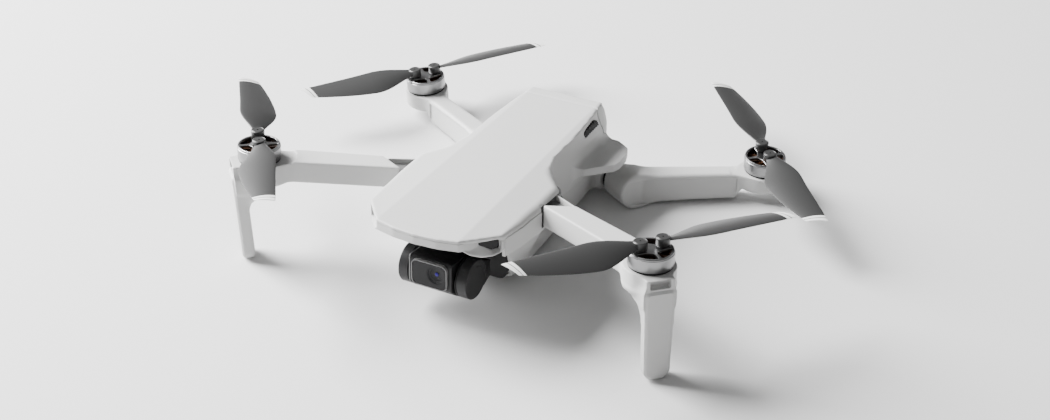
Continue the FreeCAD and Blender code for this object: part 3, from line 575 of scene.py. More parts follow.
def upper_field(x, y, z, inset=0.0):
    """The upper body as a solid: roof, plan outline and sloping tail."""
    lean = TAIL_LEAN * np.maximum(z - 42, 0) * ramp(y, 5, 38)
    side = outline(np.abs(x) + lean, y, BODY_PLAN) + inset
    roll = 0.7 + 2.9 * ramp(y, -75, -50) * (1 - ramp(y, -23, -15))
    solid = smax(crown(x, y, z) + inset, side, roll)
    return smax(solid, outline(y, z, TAIL_OUTLINE) + inset, 1.4)


def hull_field(x, y, z, inset=0.0):
    """The lower body: flat belly that rises to the tail, sides that lean in towards it."""
    bottom = np.interp(y, HULL_Y, HULL_BOTTOM)
    crease = np.interp(y, HULL_Y, HULL_CREASE)
    lean = (crease - HULL_HALF) / (CREASE + 0.4 - bottom)
    half = HULL_HALF + lean * (z - bottom)
    side = (np.abs(x) - half) / np.sqrt(1.15 + lean * lean) + inset
    belly = bottom - z + inset
    return smax(smax(side, belly, 2.2), outline(y, z, TAIL_OUTLINE) + inset, 1.4)


def bay_field(x, y, z):
    """Open space under the nose, in front of the slanted hull edge."""
    slant = ((y + 41) * (-25.6) + (z - 8.2) * (-21.0)) / 33.1
    return smax(-slant, y + 41.0, 0.4)


def slot_field(x, y, z):
    """Room in the shoulders that the front arms fold into."""
    ax = np.abs(x)
    plan = outline(ax, y, [(20.9, -38.9), (36.0, -45.3), (60.0, -45.3), (60.0, -5.0), (20.9, -5.0)])
    from_pivot = radial(ax - ARM_PIVOT[0], y - ARM_PIVOT[1])
    roof = np.where(from_pivot < 15.5, 44.7, ARM_HIGH + SLOT_GAP)
    return np.maximum(plan, np.maximum(z - roof, ARM_LOW - SLOT_GAP - z))


REAR_AXIS = (math.cos(REAR_AXIS_ANGLE), math.sin(REAR_AXIS_ANGLE))


def rear_point(along):
    return REAR_ROOT[0] + REAR_AXIS[0] * along, REAR_ROOT[1] + REAR_AXIS[1] * along, REAR_ROOT[2]


def rear_rod_field(x, y, z, start, end, radius, k=0.3):
    """Cylinder on a rear arm's fold axis, between two distances along it."""
    return rod_field(x, y, z, rear_point(start), rear_point(end), radius, k)


def drum_room_field(x, y, z):
    return rear_rod_field(np.abs(x), y, z, -DRUM_HALF - 0.3, DRUM_HALF + 8, DRUM_RADIUS + 0.35)


def seam_height(y):
    """Parting line of the top shell: along the shoulders, then deep along the waist."""
    front = 42.6 + (y + 71.6) * 0.03
    return np.where(y < SHOULDER_END, front, SEAM_WAIST)


def door_line(z):
    """How far back the battery door's seam lies at a height."""
    heights = [10, 37.6, 38.2, 39.3, 43.6, 48.0, 51.1, 52.3, 60]
    back = [43.0, 43.0, 41.0, 38.8, 36.7, 34.8, 34.2, 35.8, 35.8]
    return np.interp(z, heights, back)


def hip_field(x, y, z):
    """Eave over a rear hinge: flat-faced rim that sweeps up into the waist wall."""
    plan = outline(np.abs(x), y, HIP_PLAN)
    top = z - 35.9 - 0.10 * np.maximum(-plan - 2, 0)
    return smax(smax(plan, top, 0.5), 32.4 - z, 0.5)


HIP_PLAN = rounded([(12, 5.5), (24, 10.2), (33.4, 20.4), (34.2, 24), (33.8, 31), (31.6, 37.6), (25, 42.2),
                    (12, 42.2)], [0, 3, 3, 4, 4, 4, 2, 0])
VENT = [(20.3, 45.1), (18.6, 47.3), (19.3, 48.6), (29.0, 49.7), (31.0, 48.9), (32.9, 46.0)]
VENT_OUTLINE = rounded(VENT, 0.45)
VENT_PITCH = 1.45


def vent_room_field(x, y, z):
    return np.maximum(outline(y, z, VENT_OUTLINE), 18.7 - np.abs(x))


def top_shell_field(x, y, z):
    outer = upper_field(x, y, z)
    body = smin(outer, smax(hip_field(x, y, z), 17 - np.abs(x), 0.5), 4.2)
    body = cut(body, upper_field(x, y, z, WALL))
    seam = seam_height(y) + SEAM - z
    nose = nose_seam_height(x, y) + NOSE_SEAM - z
    seam = np.where(y < NOSE_END, nose, seam)
    body = smax(body, seam * 0.99, 0.35)
    body = cut(body, slot_field(x, y, z))
    body = cut(body, drum_room_field(x, y, z))
    body = smax(body, -vent_room_field(x, y, z), 0.5)
    return smax(body, (y - door_line(z) + DOOR_GAP) * 0.9, 0.35)


def nose_seam_height(x, y):
    """Just under the nose's upper edge, dropping into the shoulder seam behind the pods."""
    return 44.1 - 0.7 * ramp(y, -84.5, -76) - 1.3 * ramp(y, -71.6, -69.4)


# The corner face runs between these plan points; s is along it, n out of it.
FACE_START, FACE_END = (18.1, -83.7), (29.6, -70.0)
FACE_LENGTH = math.dist(FACE_START, FACE_END)
FACE_ALONG = ((FACE_END[0] - FACE_START[0]) / FACE_LENGTH, (FACE_END[1] - FACE_START[1]) / FACE_LENGTH)


def face_coordinates(x, y):
    wx, wy = np.abs(x) - FACE_START[0], y - FACE_START[1]
    s = wx * FACE_ALONG[0] + wy * FACE_ALONG[1]
    n = wx * FACE_ALONG[1] - wy * FACE_ALONG[0]
    return s, n


# Heights of the pod's lower rim along the corner face, and of the foot of the window behind it.
RIM_ALONG, RIM_HEIGHT = [1.8, 5.0, 9.4, 14.0, 17.7], [41.4, 39.0, 37.3, 37.0, 38.2]
SILL_ALONG, SILL_HEIGHT = [8.9, 14.0, 17.4], [41.2, 38.5, 38.6]
EYE_DEPTH = 2.4


def eye_pocket_field(x, y, z):
    """Scooped recess in the corner face: ramps in from its left end and from the lower rim."""
    s, n = face_coordinates(x, y)
    rim = np.interp(s, RIM_ALONG, RIM_HEIGHT)
    sill = np.interp(s, SILL_ALONG, SILL_HEIGHT)
    floor = rim + (sill - rim) * np.clip(-n / EYE_DEPTH, -0.3, 1.1)
    left = (-n - 0.338 * (s - 1.8)) / 1.056
    field = smax(smax(-n - EYE_DEPTH, left, 0.3), (floor - z) * 0.8, 0.3)
    return smax(smax(field, s - 17.5, 1.2), z - 46, 0.1)


EYE_SHAPE = rounded([(8.9, 41.2), (8.9, 43.2), (13.0, 43.7), (17.0, 43.5), (17.2, 38.7), (14.0, 38.4)], 0.9)


def eye_field(x, y, z):
    s, n = face_coordinates(x, y)
    return smax(outline(s, z, EYE_SHAPE), np.abs(n + EYE_DEPTH) - 0.45, 0.25)


def fascia_field(x, y, z):
    """Front band of the nose and the pod under each end of it."""
    s, n = face_coordinates(x, y)
    rim = np.interp(s, [-1.5] + RIM_ALONG + [20.0], [BROW_LOW + 0.6] + RIM_HEIGHT + [39.6]) - 0.6
    pod_floor = rim - 0.3 * np.clip(-n, 0, 6) * ramp(s, -0.5, 3) - z
    body = smax(upper_field(x, y, z), pod_floor * 0.85, 0.5)
    body = np.maximum(body, z - nose_seam_height(x, y) + NOSE_SEAM)
    body = np.maximum(body, y - NOSE_END + SEAM)
    body = np.maximum(body, np.minimum(-n - 7.0, BROW_LOW - z))
    body = smax(body, -np.maximum(upper_field(x, y, z, 2.6), BROW_LOW + 0.8 - z), 0.3)
    body = smax(body, -eye_pocket_field(x, y, z), 0.3)
    return cut(body, eye_field(x, y, z))


def middle_field(x, y, z):
    """Band between the shoulder seam and the crease, with the arms' lower lugs and the bay's ceiling."""
    band = np.maximum(upper_field(x, y, z), -upper_field(x, y, z, WALL))
    band = smax(band, z - seam_height(y) + SEAM, 0.35)
    ax = np.abs(x)
    lug = outline(ax, y, [(16.5, -49), (31.8, -49), (32.2, -41), (30, -35), (23, -23), (17.6, -20)])
    lug = np.maximum(np.maximum(lug, upper_field(x, y, z) + 0.1), z - 36.1)
    ceiling = np.maximum(np.abs(z - 40.4) - 0.6, np.abs(y + 59.5) - 10.4)
    ceiling = np.maximum(upper_field(x, y, z, 0.6), ceiling)
    body = np.minimum(np.minimum(band, lug), ceiling)
    body = smax(body, CREASE + CREASE_SEAM - z, 0.35)
    body = np.maximum(body, np.maximum(NOSE_END + SEAM - y, y - SHOULDER_END))
    return cut(body, slot_field(x, y, z))


def hull_shell_field(x, y, z):
    outer = smax(hull_field(x, y, z), -bay_field(x, y, z), 0.4)
    boss = rear_rod_field(np.abs(x), y, z, -DRUM_HALF - 7, -DRUM_HALF - 2.2, 6.7, 0.5)
    outer = smin(outer, boss, 6.0)
    outer = np.maximum(outer, ground_height(y) + 0.03 - z)
    shell = cut(outer, hull_field(x, y, z, WALL))
    wall = np.maximum(np.abs(y - BAY_WALL + WALL / 2) - WALL / 2, outer)
    shell = np.minimum(shell, wall)
    top = np.where(y < SHOULDER_END, CREASE, SEAM_WAIST)
    shell = smax(shell, z - top + np.where(y < SHOULDER_END, CREASE_SEAM, SEAM), 0.35)
    shell = cut(shell, slab_field(x, y, z, (-13.5, -37, 0), (13.5, 4, 14), 0.05))
    shell = cut(shell, slab_field(x, y, z, (-9, 36, 5), (9, 60, 17.6), 0.05))
    shell = cut(shell, drum_room_field(x, y, z))
    shell = cut(shell, np.maximum(42.9 - y, DOOR_BOTTOM - z))
    shell = cut(shell, radial(y - DOOR_PIN[0], z - DOOR_PIN[1]) - 2.0)
    lug = slab_field(np.abs(x), y, z, (13.5, 44.1, 15.5), (15.5, 46.8, 20.4), 0.4)
    return np.minimum(shell, np.maximum(lug, hull_field(x, y, z)))


def bay_lining_field(x, y, z):
    """Dark sheet over the wall behind the gimbal: painted shade for the back of the bay."""
    return np.maximum(hull_field(x, y, z, WALL + 0.1), np.abs(y - BAY_WALL + WALL + 0.4) - 0.3)


def hinge_gap_shade_field(x, y, z):
    """Dark ring in the gap between the hull and a rear arm's drum: painted shade for that gap."""
    return rear_rod_field(x, y, z, -DRUM_HALF - 2.6, -DRUM_HALF - 0.15, 5.9)


def tail_field(x, y, z, inset=0.0):
    """The upper body above the waist's seam, and the hull below it."""
    upper = np.maximum(upper_field(x, y, z, inset), SEAM_WAIST - z)
    return np.minimum(upper, np.maximum(hull_field(x, y, z, inset), z - SEAM_WAIST))


def door_field(x, y, z):
    body = cut(tail_field(x, y, z), tail_field(x, y, z, WALL))
    ears = slab_field(np.abs(x), y, z, (9, 44.1, DOOR_BOTTOM), (12.8, 46.9, 21.4), 0.4)
    body = np.minimum(body, ears)
    body = smax(body, (door_line(z) + DOOR_GAP - y) * 0.9, 0.35)
    body = smax(body, DOOR_BOTTOM + 0.15 - z, 0.3)
    lugs = slab_field(np.abs(x), y, z, (13.0, 43, 10), (16.0, 50, 20.9), 0.2)
    return cut(body, lugs)


def make_body():
    body, grey, dark = "airframe", "shell_grey", "dark_plastic"
    sculpt("top_shell_skin", top_shell_field, (-36, -88.5, 26), (36, 44, 54.5), 0.55, body, grey,
           ["top_shell"])
    sculpt("nose_fascia_skin", fascia_field, (-31, -88.5, 31), (31, -69, 46), 0.45, body, grey,
           ["nose_fascia"])
    sculpt("middle_frame_skin", middle_field, (-35, -71, 33.6), (35, -16, 44.5), 0.5, body, grey,
           ["middle_frame"])
    sculpt("hull_skin", hull_shell_field, (-35, -64, 7), (35, 49, 36), 0.55, body, grey, ["hull_shell"])
    sculpt("battery_door_skin", door_field, (-21, 33, 17), (21, 49.5, 54.5), 0.45, "battery_door", grey,
           ["battery_door"])
    sculpt("bay_lining", bay_lining_field, (-32, -46.5, 7), (32, -44.5, 34.5), 0.3, body, dark)
    sculpt_pair("rear_hinge_collar_{}", hinge_gap_shade_field, (15, 31, 13), (32, 49, 27), 0.3, body, dark)
    sculpt("corner_window_panes", eye_field, (-31, -84, 35), (31, -69, 44), 0.25, body, "gloss_black",
           ["corner_windows"])


def vent_field(x, y, z):
    """Slanted ribs of the vent, just under the wall."""
    bars = (y - 0.55 * (z - 47)) % VENT_PITCH
    rib = smax(np.abs(bars - VENT_PITCH / 2) - 0.3, np.abs(np.abs(x) - 19.1) - 0.75, 0.15)
    return np.maximum(rib, outline(y, z, VENT_OUTLINE) + 0.12)


# Black plate behind the vent's ribs: painted shade for the dark well between them.
def vent_shade_field(x, y, z):
    return np.maximum(outline(y, z, VENT_OUTLINE) + 0.12, np.abs(np.abs(x) - 18.1) - 0.24)


def make_vents():
    low, high = (-20.5, 17.5, 44), (20.5, 34, 51)
    sculpt("side_vent_louvres", vent_field, low, high, 0.18, "airframe", "dark_plastic", ["side_vents"],
           CHARCOAL)
    # The plate behind the ribs is painted shade.
    sculpt("side_vent_painted_shade", vent_shade_field, low, high, 0.25, "airframe", "gloss_black", (), LENS_RING_AND_SHADE_BLACK)


# ---- arms ----

BEAM_PLAN = rounded([(32.2, -42.9), (74.1, -60.6), (80.5, -68.6), (90, -69.5), (89, -55), (81.5, -51.4),
                     (74.5, -48.2), (44.3, -37.0)], [0.6, 6, 3, 1, 1, 4, 8, 0.6])
KNUCKLE_PLAN = [(24.2, -33.0), (33.6, -43.0), (44.4, -37.4), (31.6, -24.8)]


def leg_coordinates(x, y, z):
    """Outward and sideways distances from the leg's centre line."""
    top_x = FRONT_MOTOR[0] + LEG_OUT[0] * 9.6
    top_y = FRONT_MOTOR[1] + LEG_OUT[1] * 9.6
    share = z / 36.0
    wx = x - (FOOT[0] + (top_x - FOOT[0]) * share)
    wy = y - (FOOT[1] + (top_y - FOOT[1]) * share)
    return wx * LEG_OUT[0] + wy * LEG_OUT[1], wx * -LEG_OUT[1] + wy * LEG_OUT[0]


LEG_FACE = rounded([(-5.2, 0.1), (5.2, 0.1), (6.0, 40.4), (-6.0, 40.4)], [4.2, 4.2, 2.0, 2.0], 12)
LEG_BEVEL = 1.1
SKIRT_TOP, SKIRT_LOW = 38.0, 26.5


def pod_skirt_field(x, y, z):
    """Cone that narrows from the motor pod down into the leg."""
    share = np.clip((SKIRT_TOP - z) / (SKIRT_TOP - SKIRT_LOW), 0, 1)
    leg_x, leg_y = FOOT[0] - 0.3, FOOT[1] + 0.3
    dx = x - (FRONT_MOTOR[0] + (leg_x - FRONT_MOTOR[0]) * share)
    dy = y - (FRONT_MOTOR[1] + (leg_y - FRONT_MOTOR[1]) * share)
    radius = POD_RADIUS - 0.2 - (POD_RADIUS - 4.6) * share
    cone = (radial(dx, dy) - radius) * 0.85
    return smax(cone, between(z, SKIRT_LOW, SKIRT_TOP), 1.0)


def hip_room_field(x, y, z):
    """The hip, in a front arm's own place, when that arm is folded or nearly so."""
    room = np.inf
    for short in (0, 5):
        turn = math.radians(JOINTS["front_arm_fold_right"]["range_deg"][1] - short)
        wx, wy = x - ARM_PIVOT[0], y - ARM_PIVOT[1]
        u = ARM_PIVOT[0] + wx * math.cos(turn) - wy * math.sin(turn)
        v = ARM_PIVOT[1] + wx * math.sin(turn) + wy * math.cos(turn)
        room = np.minimum(room, hip_field(u, v, z))
    return np.maximum(room - 0.6, z - 37.4)


def front_arm_field(x, y, z):
    beam = smax(outline(x, y, BEAM_PLAN), between(z, ARM_LOW, ARM_HIGH), 0.9)
    motor = FRONT_MOTOR[:2]
    pod_top = FRONT_MOTOR[2] - BELL_HEIGHT - BELL_GAP
    pod = rod_field(x, y, z, (*motor, 36.4), (*motor, pod_top + 3), POD_RADIUS, 2.0)
    arm = smin(beam, pod, 3.0)
    out, across = leg_coordinates(x, y, z)
    face = outline(across, z, LEG_FACE)
    outer = out - 2.75 + 0.8 * np.clip(face + LEG_BEVEL, 0, LEG_BEVEL)
    leg = smax(smax(face, outer, 0.25), -2.75 - out, 1.6)
    shoulder = slab_field(across, out, z, (-5.6, -6.0, 34), (5.6, 1.95, 45.4), 0.9)
    arm = smin(smin(arm, pod_skirt_field(x, y, z), 1.5), shoulder, 2.2)
    arm = smax(smin(arm, leg, 3.0), outer, 0.25)
    pocket = slab_field(across, out, z, (-4.0, -0.8, 41.1), (4.0, 8, 44.7), 0.8)
    arm = smax(arm, -pocket, 0.4)
    along, beside = hinge_coordinates(x, y)
    rib = slab_field(along, beside, z, (5.5, -0.3, ARM_LOW + 0.2), (18, 0.3, 44.3), 0.2)
    arm = np.minimum(arm, rib)
    bell_room = rod_field(x, y, z, (*motor, pod_top), (*motor, pod_top + 20), BELL_RADIUS + 6, 0.1)
    arm = smax(arm, -bell_room, 0.35)
    arm = cut(arm, rod_field(x, y, z, (*motor, pod_top - 1.2), (*motor, 60), 3.42))
    arm = cut(arm, hip_room_field(x, y, z))
    return smax(arm, ground_height(y) + 0.02 - z, 0.3)


def hinge_coordinates(x, y):
    """Distance from the fold axis along the thin rib on the hinge, and across it."""
    along = (0.894, -0.447)
    wx, wy = x - ARM_PIVOT[0], y - ARM_PIVOT[1] - 0.6
    return wx * along[0] + wy * along[1], wx * -along[1] + wy * along[0]


def arm_hinge_field(x, y, z):
    """Knuckle that joins a front arm to its pin, below the shell's edge; its grey is painted shade for the
    recess there.
    """
    knuckle = smax(outline(x, y, KNUCKLE_PLAN), np.abs(z - 39.4) - 2.6, 0.5)
    boss = rod_field(x, y, z, (*ARM_PIVOT, 36.7), (*ARM_PIVOT, 44.3), 5.3, 0.5)
    hinge = np.maximum(np.minimum(knuckle, boss), -front_arm_field(x, y, z) + 0.02)
    return cut(hinge, rod_field(x, y, z, (*ARM_PIVOT, 20), (*ARM_PIVOT, 60), PIN_BORE))


def rear_up():
    axis = STAND.to_3x3().transposed() @ Vector(JOINTS["rear_spin_right"]["axis"])
    return axis if axis.z > 0 else -axis


REAR_UP = rear_up()
BAR_U = [0, 10, 26, 44.0, 47.0, 62]
BAR_HALF = [5.3, 5.2, 4.8, 4.7, 5.0, 5.2]
BAR_BOTTOM = [13.4, 13.8, 15.0, 15.9, 21.2, 22]
BAR_TOP = [26.9, 26.9, 27.3, 27.7, 27.8, 27.8]
PANEL = rounded([(-4.3, 14.7), (-4.3, 25.1), (44.5, 25.6), (44.5, 10.0)], [4.8, 4.8, 0.5, 0.5], 10)
PANEL_DEPTH = 0.6


def bar_coordinates(x, y):
    """Distances along and across the rear arm's bar, from the foot of the bar."""
    start = np.array(rear_point(0.0)[:2]) + (2.0, 1.6)
    along = np.array(REAR_MOTOR[:2]) - start
    length = float(np.linalg.norm(along))
    along /= length
    wx, wy = x - start[0], y - start[1]
    return wx * along[0] + wy * along[1], wy * along[0] - wx * along[1], length


def rear_arm_field(x, y, z):
    u, v, length = bar_coordinates(x, y)
    half, low, high = (np.interp(u, BAR_U, row) for row in (BAR_HALF, BAR_BOTTOM, BAR_TOP))
    bar = smax(np.abs(v) - half, between(z, low, high), 2.2)
    bar = smax(bar, np.maximum(-u, u - length + 4), 2.5)
    drum = rear_rod_field(x, y, z, -DRUM_HALF, DRUM_HALF, DRUM_RADIUS, 1.6)
    up = np.array(REAR_UP)
    top = np.array(REAR_MOTOR) - up * (BELL_HEIGHT + BELL_GAP)
    pod = rod_field(x, y, z, top - up * 7.4, top + up * 3, POD_RADIUS, 2.5)
    arm = smin(smin(bar, drum, 5.0), pod, 3.5)
    inset = smax(outline(u, z, PANEL), v + half - PANEL_DEPTH, 0.3)
    end = rear_point(DRUM_HALF - PANEL_DEPTH)
    beyond = (x - end[0]) * REAR_AXIS[0] + (y - end[1]) * REAR_AXIS[1]
    inset = smax(inset, -beyond, 0.6)
    arm = smax(arm, -inset, 0.5)
    arm = smax(arm, -rod_field(x, y, z, top, top + up * 20, BELL_RADIUS + 6, 0.1), 0.35)
    arm = cut(arm, rod_field(x, y, z, top - up * 1.2, top + up * 20, 3.42))
    arm = np.maximum(arm, ground_height(y) + 0.03 - z)
    return cut(arm, rear_rod_field(x, y, z, -DRUM_HALF - 1, DRUM_HALF - 1.3, PIN_BORE))


def make_arms():
    sculpt_pair("front_arm_skin_{}", front_arm_field, (20, -79, -1), (104, -22, 47), 0.45, "front_arm_{}",
                "shell_grey", ["front_arm_{}"])
    # The hinges' mid grey is painted shade for the dark recess under the shell's edge.
    sculpt_pair("front_arm_hinge_{}", arm_hinge_field, (20, -45, 35.5), (46, -22, 45.5), 0.4, "front_arm_{}",
                "dark_plastic", (), RIM_GREY_AND_PAINTED_LIGHT)
    sculpt_pair("rear_arm_skin_{}", rear_arm_field, (24, 24, 9), (97, 75, 30), 0.45, "rear_arm_{}",
                "shell_grey", ["rear_arm_{}"])


# ---- motors and propellers ----

def motor_matrix(end, origin, heading):
    """Carries a part built upright at the origin onto a right-hand motor, in the level frame."""
    axis = Vector((0, 0, 1)) if end == "front" else REAR_UP
    lean = Vector((0, 0, 1)).rotation_difference(axis).to_matrix().to_4x4()
    return Matrix.Translation(Vector(origin)) @ lean @ Matrix.Rotation(math.radians(heading), 4, "Z")


def bridge_heading(end):
    return sum(HEADINGS[end]) / 2 + 90


def bell_plate_field(x, y, z):
    """Top web: hub, bridge under the blades and two thin spokes, with four openings."""
    radius = radial(x, y)
    bridge = np.maximum(np.abs(y) - 2.3, np.abs(x) - 8.4)
    spoke = np.maximum(np.abs(x) - 0.75, np.abs(y) - 8.4)
    web = smin(smin(bridge, spoke, 1.5), radius - 3.4, 1.5)
    web = smin(web, 7.7 - radius, 0.8)
    plate = smax(smax(web, radius - 8.3, 0.1), np.abs(z + 0.62) - 0.55, 0.25)
    screws = radial(np.abs(x) - BLADE_PIVOT, y) - 0.82
    return cut(plate, np.maximum(screws, -0.95 - z))


BELL_RIM = [(8.05, -BELL_HEIGHT), (8.5, -BELL_HEIGHT), (8.7, -BELL_HEIGHT + 0.1), (8.85, -BELL_HEIGHT + 0.4),
            (8.85, -0.95), (8.6, -0.8), (8.6, -0.55), (8.75, -0.45), (8.6, -0.12), (8.35, 0.0), (8.15, -0.06),
            (8.05, -0.3)]
# Dark ring sitting in the gap between bell and pod: painted shade for that gap.
GAP_SHADE_RING = [(6.4, -6.65), (8.5, -6.65), (8.5, -6.15), (6.4, -6.15)]


def make_bells():
    plate = contour(bell_plate_field, (-9, -9, -1.8), (9, 9, 0.5), 0.2)
    rim = lathe(BELL_RIM, 96)
    shaft = lathe([(0.0, -0.1), (1.0, -0.1), (1.0, -7.7), (0.0, -7.7)][::-1], 24)
    gap_vertices, gap_faces = lathe(GAP_SHADE_RING, 64)
    vertices, faces = joined(plate, rim, shaft)
    for end, origin in MOTORS.items():
        matrix = motor_matrix(end, origin, bridge_heading(end))
        bell, ring = end + "_bell_{}", moved(gap_vertices, matrix)
        for side in SIDES:
            pair(bell + "_can", moved(vertices, matrix), faces, end + "_rotor_{}", "brushed_metal", [bell],
                 sides=[side])
            pair(end + "_pod_ring_{}", ring, gap_faces, end + "_arm_{}", "dark_plastic", sides=[side])


def blade_chord(share):
    rise = 4.4 + 11.0 * np.sin(np.pi / 2 * np.clip(share / 0.36, 0, 1)) ** 1.4
    fall = 15.4 - 7.4 * np.clip((share - 0.36) / 0.64, 0, 1) ** 1.3
    return np.where(share < 0.36, rise, fall)


def blade_surface(spin):
    """Twisted, cambered blade along +X from its pivot, with a raked tip; also its (span, chord) map."""
    reach = BLADE_TIP - BLADE_PIVOT
    spans, around = 56, 28              # sections along the blade, points round each
    vertices, spots = [], []
    turns = np.arange(around) * 2 * math.pi / around
    across_unit = 0.5 * np.cos(turns)
    for share in np.linspace(0, 1, spans):
        chord = float(blade_chord(share))
        thick = 1.35 - 0.85 * share
        twist = math.radians(17 - 9 * share)
        lead = 0.5 - 0.12 * math.sin(math.pi * share)
        s = (across_unit + lead - 0.5) * chord
        fullness = np.sin(turns) * (0.62 + 0.38 * np.cos(turns))
        camber = 0.05 * chord * (1 - (2 * across_unit) ** 2)
        h = camber + thick * 0.5 * fullness
        rake = 3.6 * share ** 6 * (0.5 - across_unit)
        x = 1.0 + (reach - 1.0) * share - rake
        y = s * math.cos(twist) - h * math.sin(twist)
        z = s * math.sin(twist) + h * math.cos(twist)
        level = 2.6 + 0.85 * share
        vertices.append(np.stack([x, spin * y, level + z], axis=1))
        spots.append(np.stack([np.full(around, share), across_unit + 0.5], axis=1))
    faces = [quad if spin < 0 else quad[::-1] for quad in ring_quads(spans, around, spans - 1)]
    last = (spans - 1) * around
    for i in range(around // 2):
        left, right = (around - i) % around, (around - i - 1) % around
        for base, flip in ((0, False), (last, True)):
            cap = (base + left, base + i, base + i + 1, base + right)
            if len(set(cap)) == 4:
                faces.append(cap[::-1] if flip == (spin > 0) else cap)
    return np.concatenate(vertices), np.array(faces), np.concatenate(spots)


BARREL = [(0.36, 4.1), (2.2, 4.1), (2.3, 4.02), (2.4, 4.1), (2.6, 4.06), (2.75, 3.9), (2.75, 0.7), (2.6, 0.5),
          (0.86, 0.5), (0.86, 3.0), (1.5, 3.0), (1.5, 3.82), (0.36, 3.82)]


def make_blades():
    barrel = lathe(BARREL[::-1], 40)
    for end, origin in MOTORS.items():
        vertices, faces, spots = blade_surface(SPIN[end])
        both = joined((vertices, faces), barrel)
        uv = np.concatenate([spots, np.full((len(barrel[0]), 2), 0.3)])
        bridge = motor_matrix(end, origin, bridge_heading(end))
        for which, sign in (("a", 1), ("b", -1)):
            pivot = bridge @ Vector((BLADE_PIVOT * sign, 0, 0))
            heading = HEADINGS[end][0 if which == "a" else 1]
            placed = moved(both[0], motor_matrix(end, pivot, heading))
            name = f"{end}_blade_{which}" + "_{}"
            pair(name + "_skin", placed, both[1], name, "blade_grey", [name], uv=uv)


# ---- gimbal ----

GLASS_RISE = 2.6
LENS = (3.0, 3.4)                       # lens axis from the crossing of the gimbal's axes, across and up


def camera_field(x, y, z):
    """Camera housing: rounded back and hood, flat face that the cover glass sits in."""
    dy, dz = y - GIMBAL[1], z - GIMBAL[2]
    barrel = radial(dy, dz) - 8.3
    block = smax(np.abs(dy + 4.6) - 4.6, np.abs(dz - GLASS_RISE) - 6.6, 2.2)
    block = smax(block, dz - 9.2 + 0.12 * (dy + 9.2), 0.5)
    body = smin(barrel, block, 1.5)
    body = smax(body, np.abs(x) - 9.6, 0.6)
    stub = smax(radial(dy, dz) - 2.0, np.abs(x) - 12.3, 0.2)
    body = np.minimum(body, stub)
    face = rim_outline(x, dz - GLASS_RISE, 8.0, 5.6, 2.4)
    return smax(body, -np.maximum(face, dy + 8.6), 0.25)


def rim_outline(u, v, half_u, half_v, corner):
    """Distance to a rectangle with round corners."""
    du, dv = np.abs(u) - half_u + corner, np.abs(v) - half_v + corner
    return radial(np.maximum(du, 0), np.maximum(dv, 0)) + np.minimum(np.maximum(du, dv), 0) - corner


def rim_field(x, y, z):
    """Thin bright frame of the cover glass, and a painted highlight: a pale strip on the housing's rounded
    left edge only.
    """
    dy, dz = y - GIMBAL[1], z - GIMBAL[2] - GLASS_RISE
    ring = smax(np.abs(rim_outline(x, dz, 7.8, 5.4, 2.3)) - 0.2, np.abs(dy + 9.45) - 0.85, 0.1)
    # Pale strip on the left edge alone, where the key light falls: a painted highlight.
    painted_left_highlight = np.maximum(np.abs(camera_field(x, y, z)) - 0.16, np.abs(x + 9.25) - 0.24)
    return np.minimum(ring, np.maximum(painted_left_highlight, dy + 1.0))


def glass_field(x, y, z):
    dy, dz = y - GIMBAL[1], z - GIMBAL[2]
    pane = smax(rim_outline(x, dz - GLASS_RISE, 7.55, 5.15, 2.05), np.abs(dy + 9.4) - 0.7, 0.2)
    return cut(pane, np.maximum(radial(x - LENS[0], dz - LENS[1]) - 4.0, dy + 9.0))


LENS_STEPS = [(4.0, 9.95), (3.55, 9.85), (3.4, 9.6), (2.7, 9.5), (2.55, 9.25), (1.9, 9.15), (1.75, 8.95),
              (1.0, 8.9), (0.85, 9.15), (0.5, 9.3), (0.02, 9.35), (0.02, 8.4), (4.0, 8.4)]
LENS_DOME = [(0.9, 9.0), (0.8, 9.25), (0.5, 9.42), (0.02, 9.48), (0.02, 9.0)]


def make_lens():
    """Stepped rings around the lens, with a tinted front element."""
    to_lens = Matrix.Translation((LENS[0], GIMBAL[1], GIMBAL[2] + LENS[1]))
    to_lens = to_lens @ Matrix.Rotation(math.pi / 2, 4, "X")
    parts = [("lens_rings", LENS_STEPS, 64, "gloss_black", ["lens_barrel"], LENS_RING_AND_SHADE_BLACK),
             ("lens_element", LENS_DOME, 32, "clear_glass", (), LENS_TINT)]
    for name, profile, steps, slot, nodes, material in parts:
        vertices, faces = lathe(profile[::-1], steps)
        piece(name, new_mesh(name, moved(vertices, to_lens), faces), "camera", slot, nodes, material)


def disc_field(x, y, z):
    dy, dz = y - GIMBAL[1], z - GIMBAL[2]
    radius = radial(dy, dz)
    disc = smax(radius - 8.2, np.abs(x - 12.8) - 2.6, 0.4)
    groove = np.maximum(np.abs(x - 10.9) - 0.2, 7.7 - radius)
    disc = smax(disc, -groove, 0.1)
    arc = np.maximum(np.abs(radial(dy, dz + 0.8) - 6.4) - 0.14, np.maximum(15.15 - x, -dy))
    return cut(cut(disc, arc), np.maximum(radius - PIN_BORE, x - 12.4))


def make_gimbal():
    y, z = GIMBAL[1:]
    sculpt("camera_body", camera_field, (-13, y - 11.5, z - 9), (13, y + 9, z + 10), 0.3, "camera",
           "dark_plastic", ["camera_housing"])
    sculpt("camera_bezel_and_painted_highlight", rim_field, (-10, y - 11, z - 6), (9, y, z + 10), 0.16, "camera",
           "brushed_metal", ["camera_rim"], RIM_GREY_AND_PAINTED_LIGHT)
    sculpt("camera_window", glass_field, (-8.5, y - 11, z - 3.5), (8.5, y - 8, z + 8.5), 0.2, "camera",
           "clear_glass", ["camera_glass"])
    sculpt_pair("pitch_disc_skin_{}", disc_field, (9.5, y - 9, z - 9), (16, y + 9, z + 9), 0.25,
                "gimbal_roll", "dark_plastic", ["pitch_disc_{}"], CHARCOAL)
    make_lens()


# ---- CAD pieces that stay ----

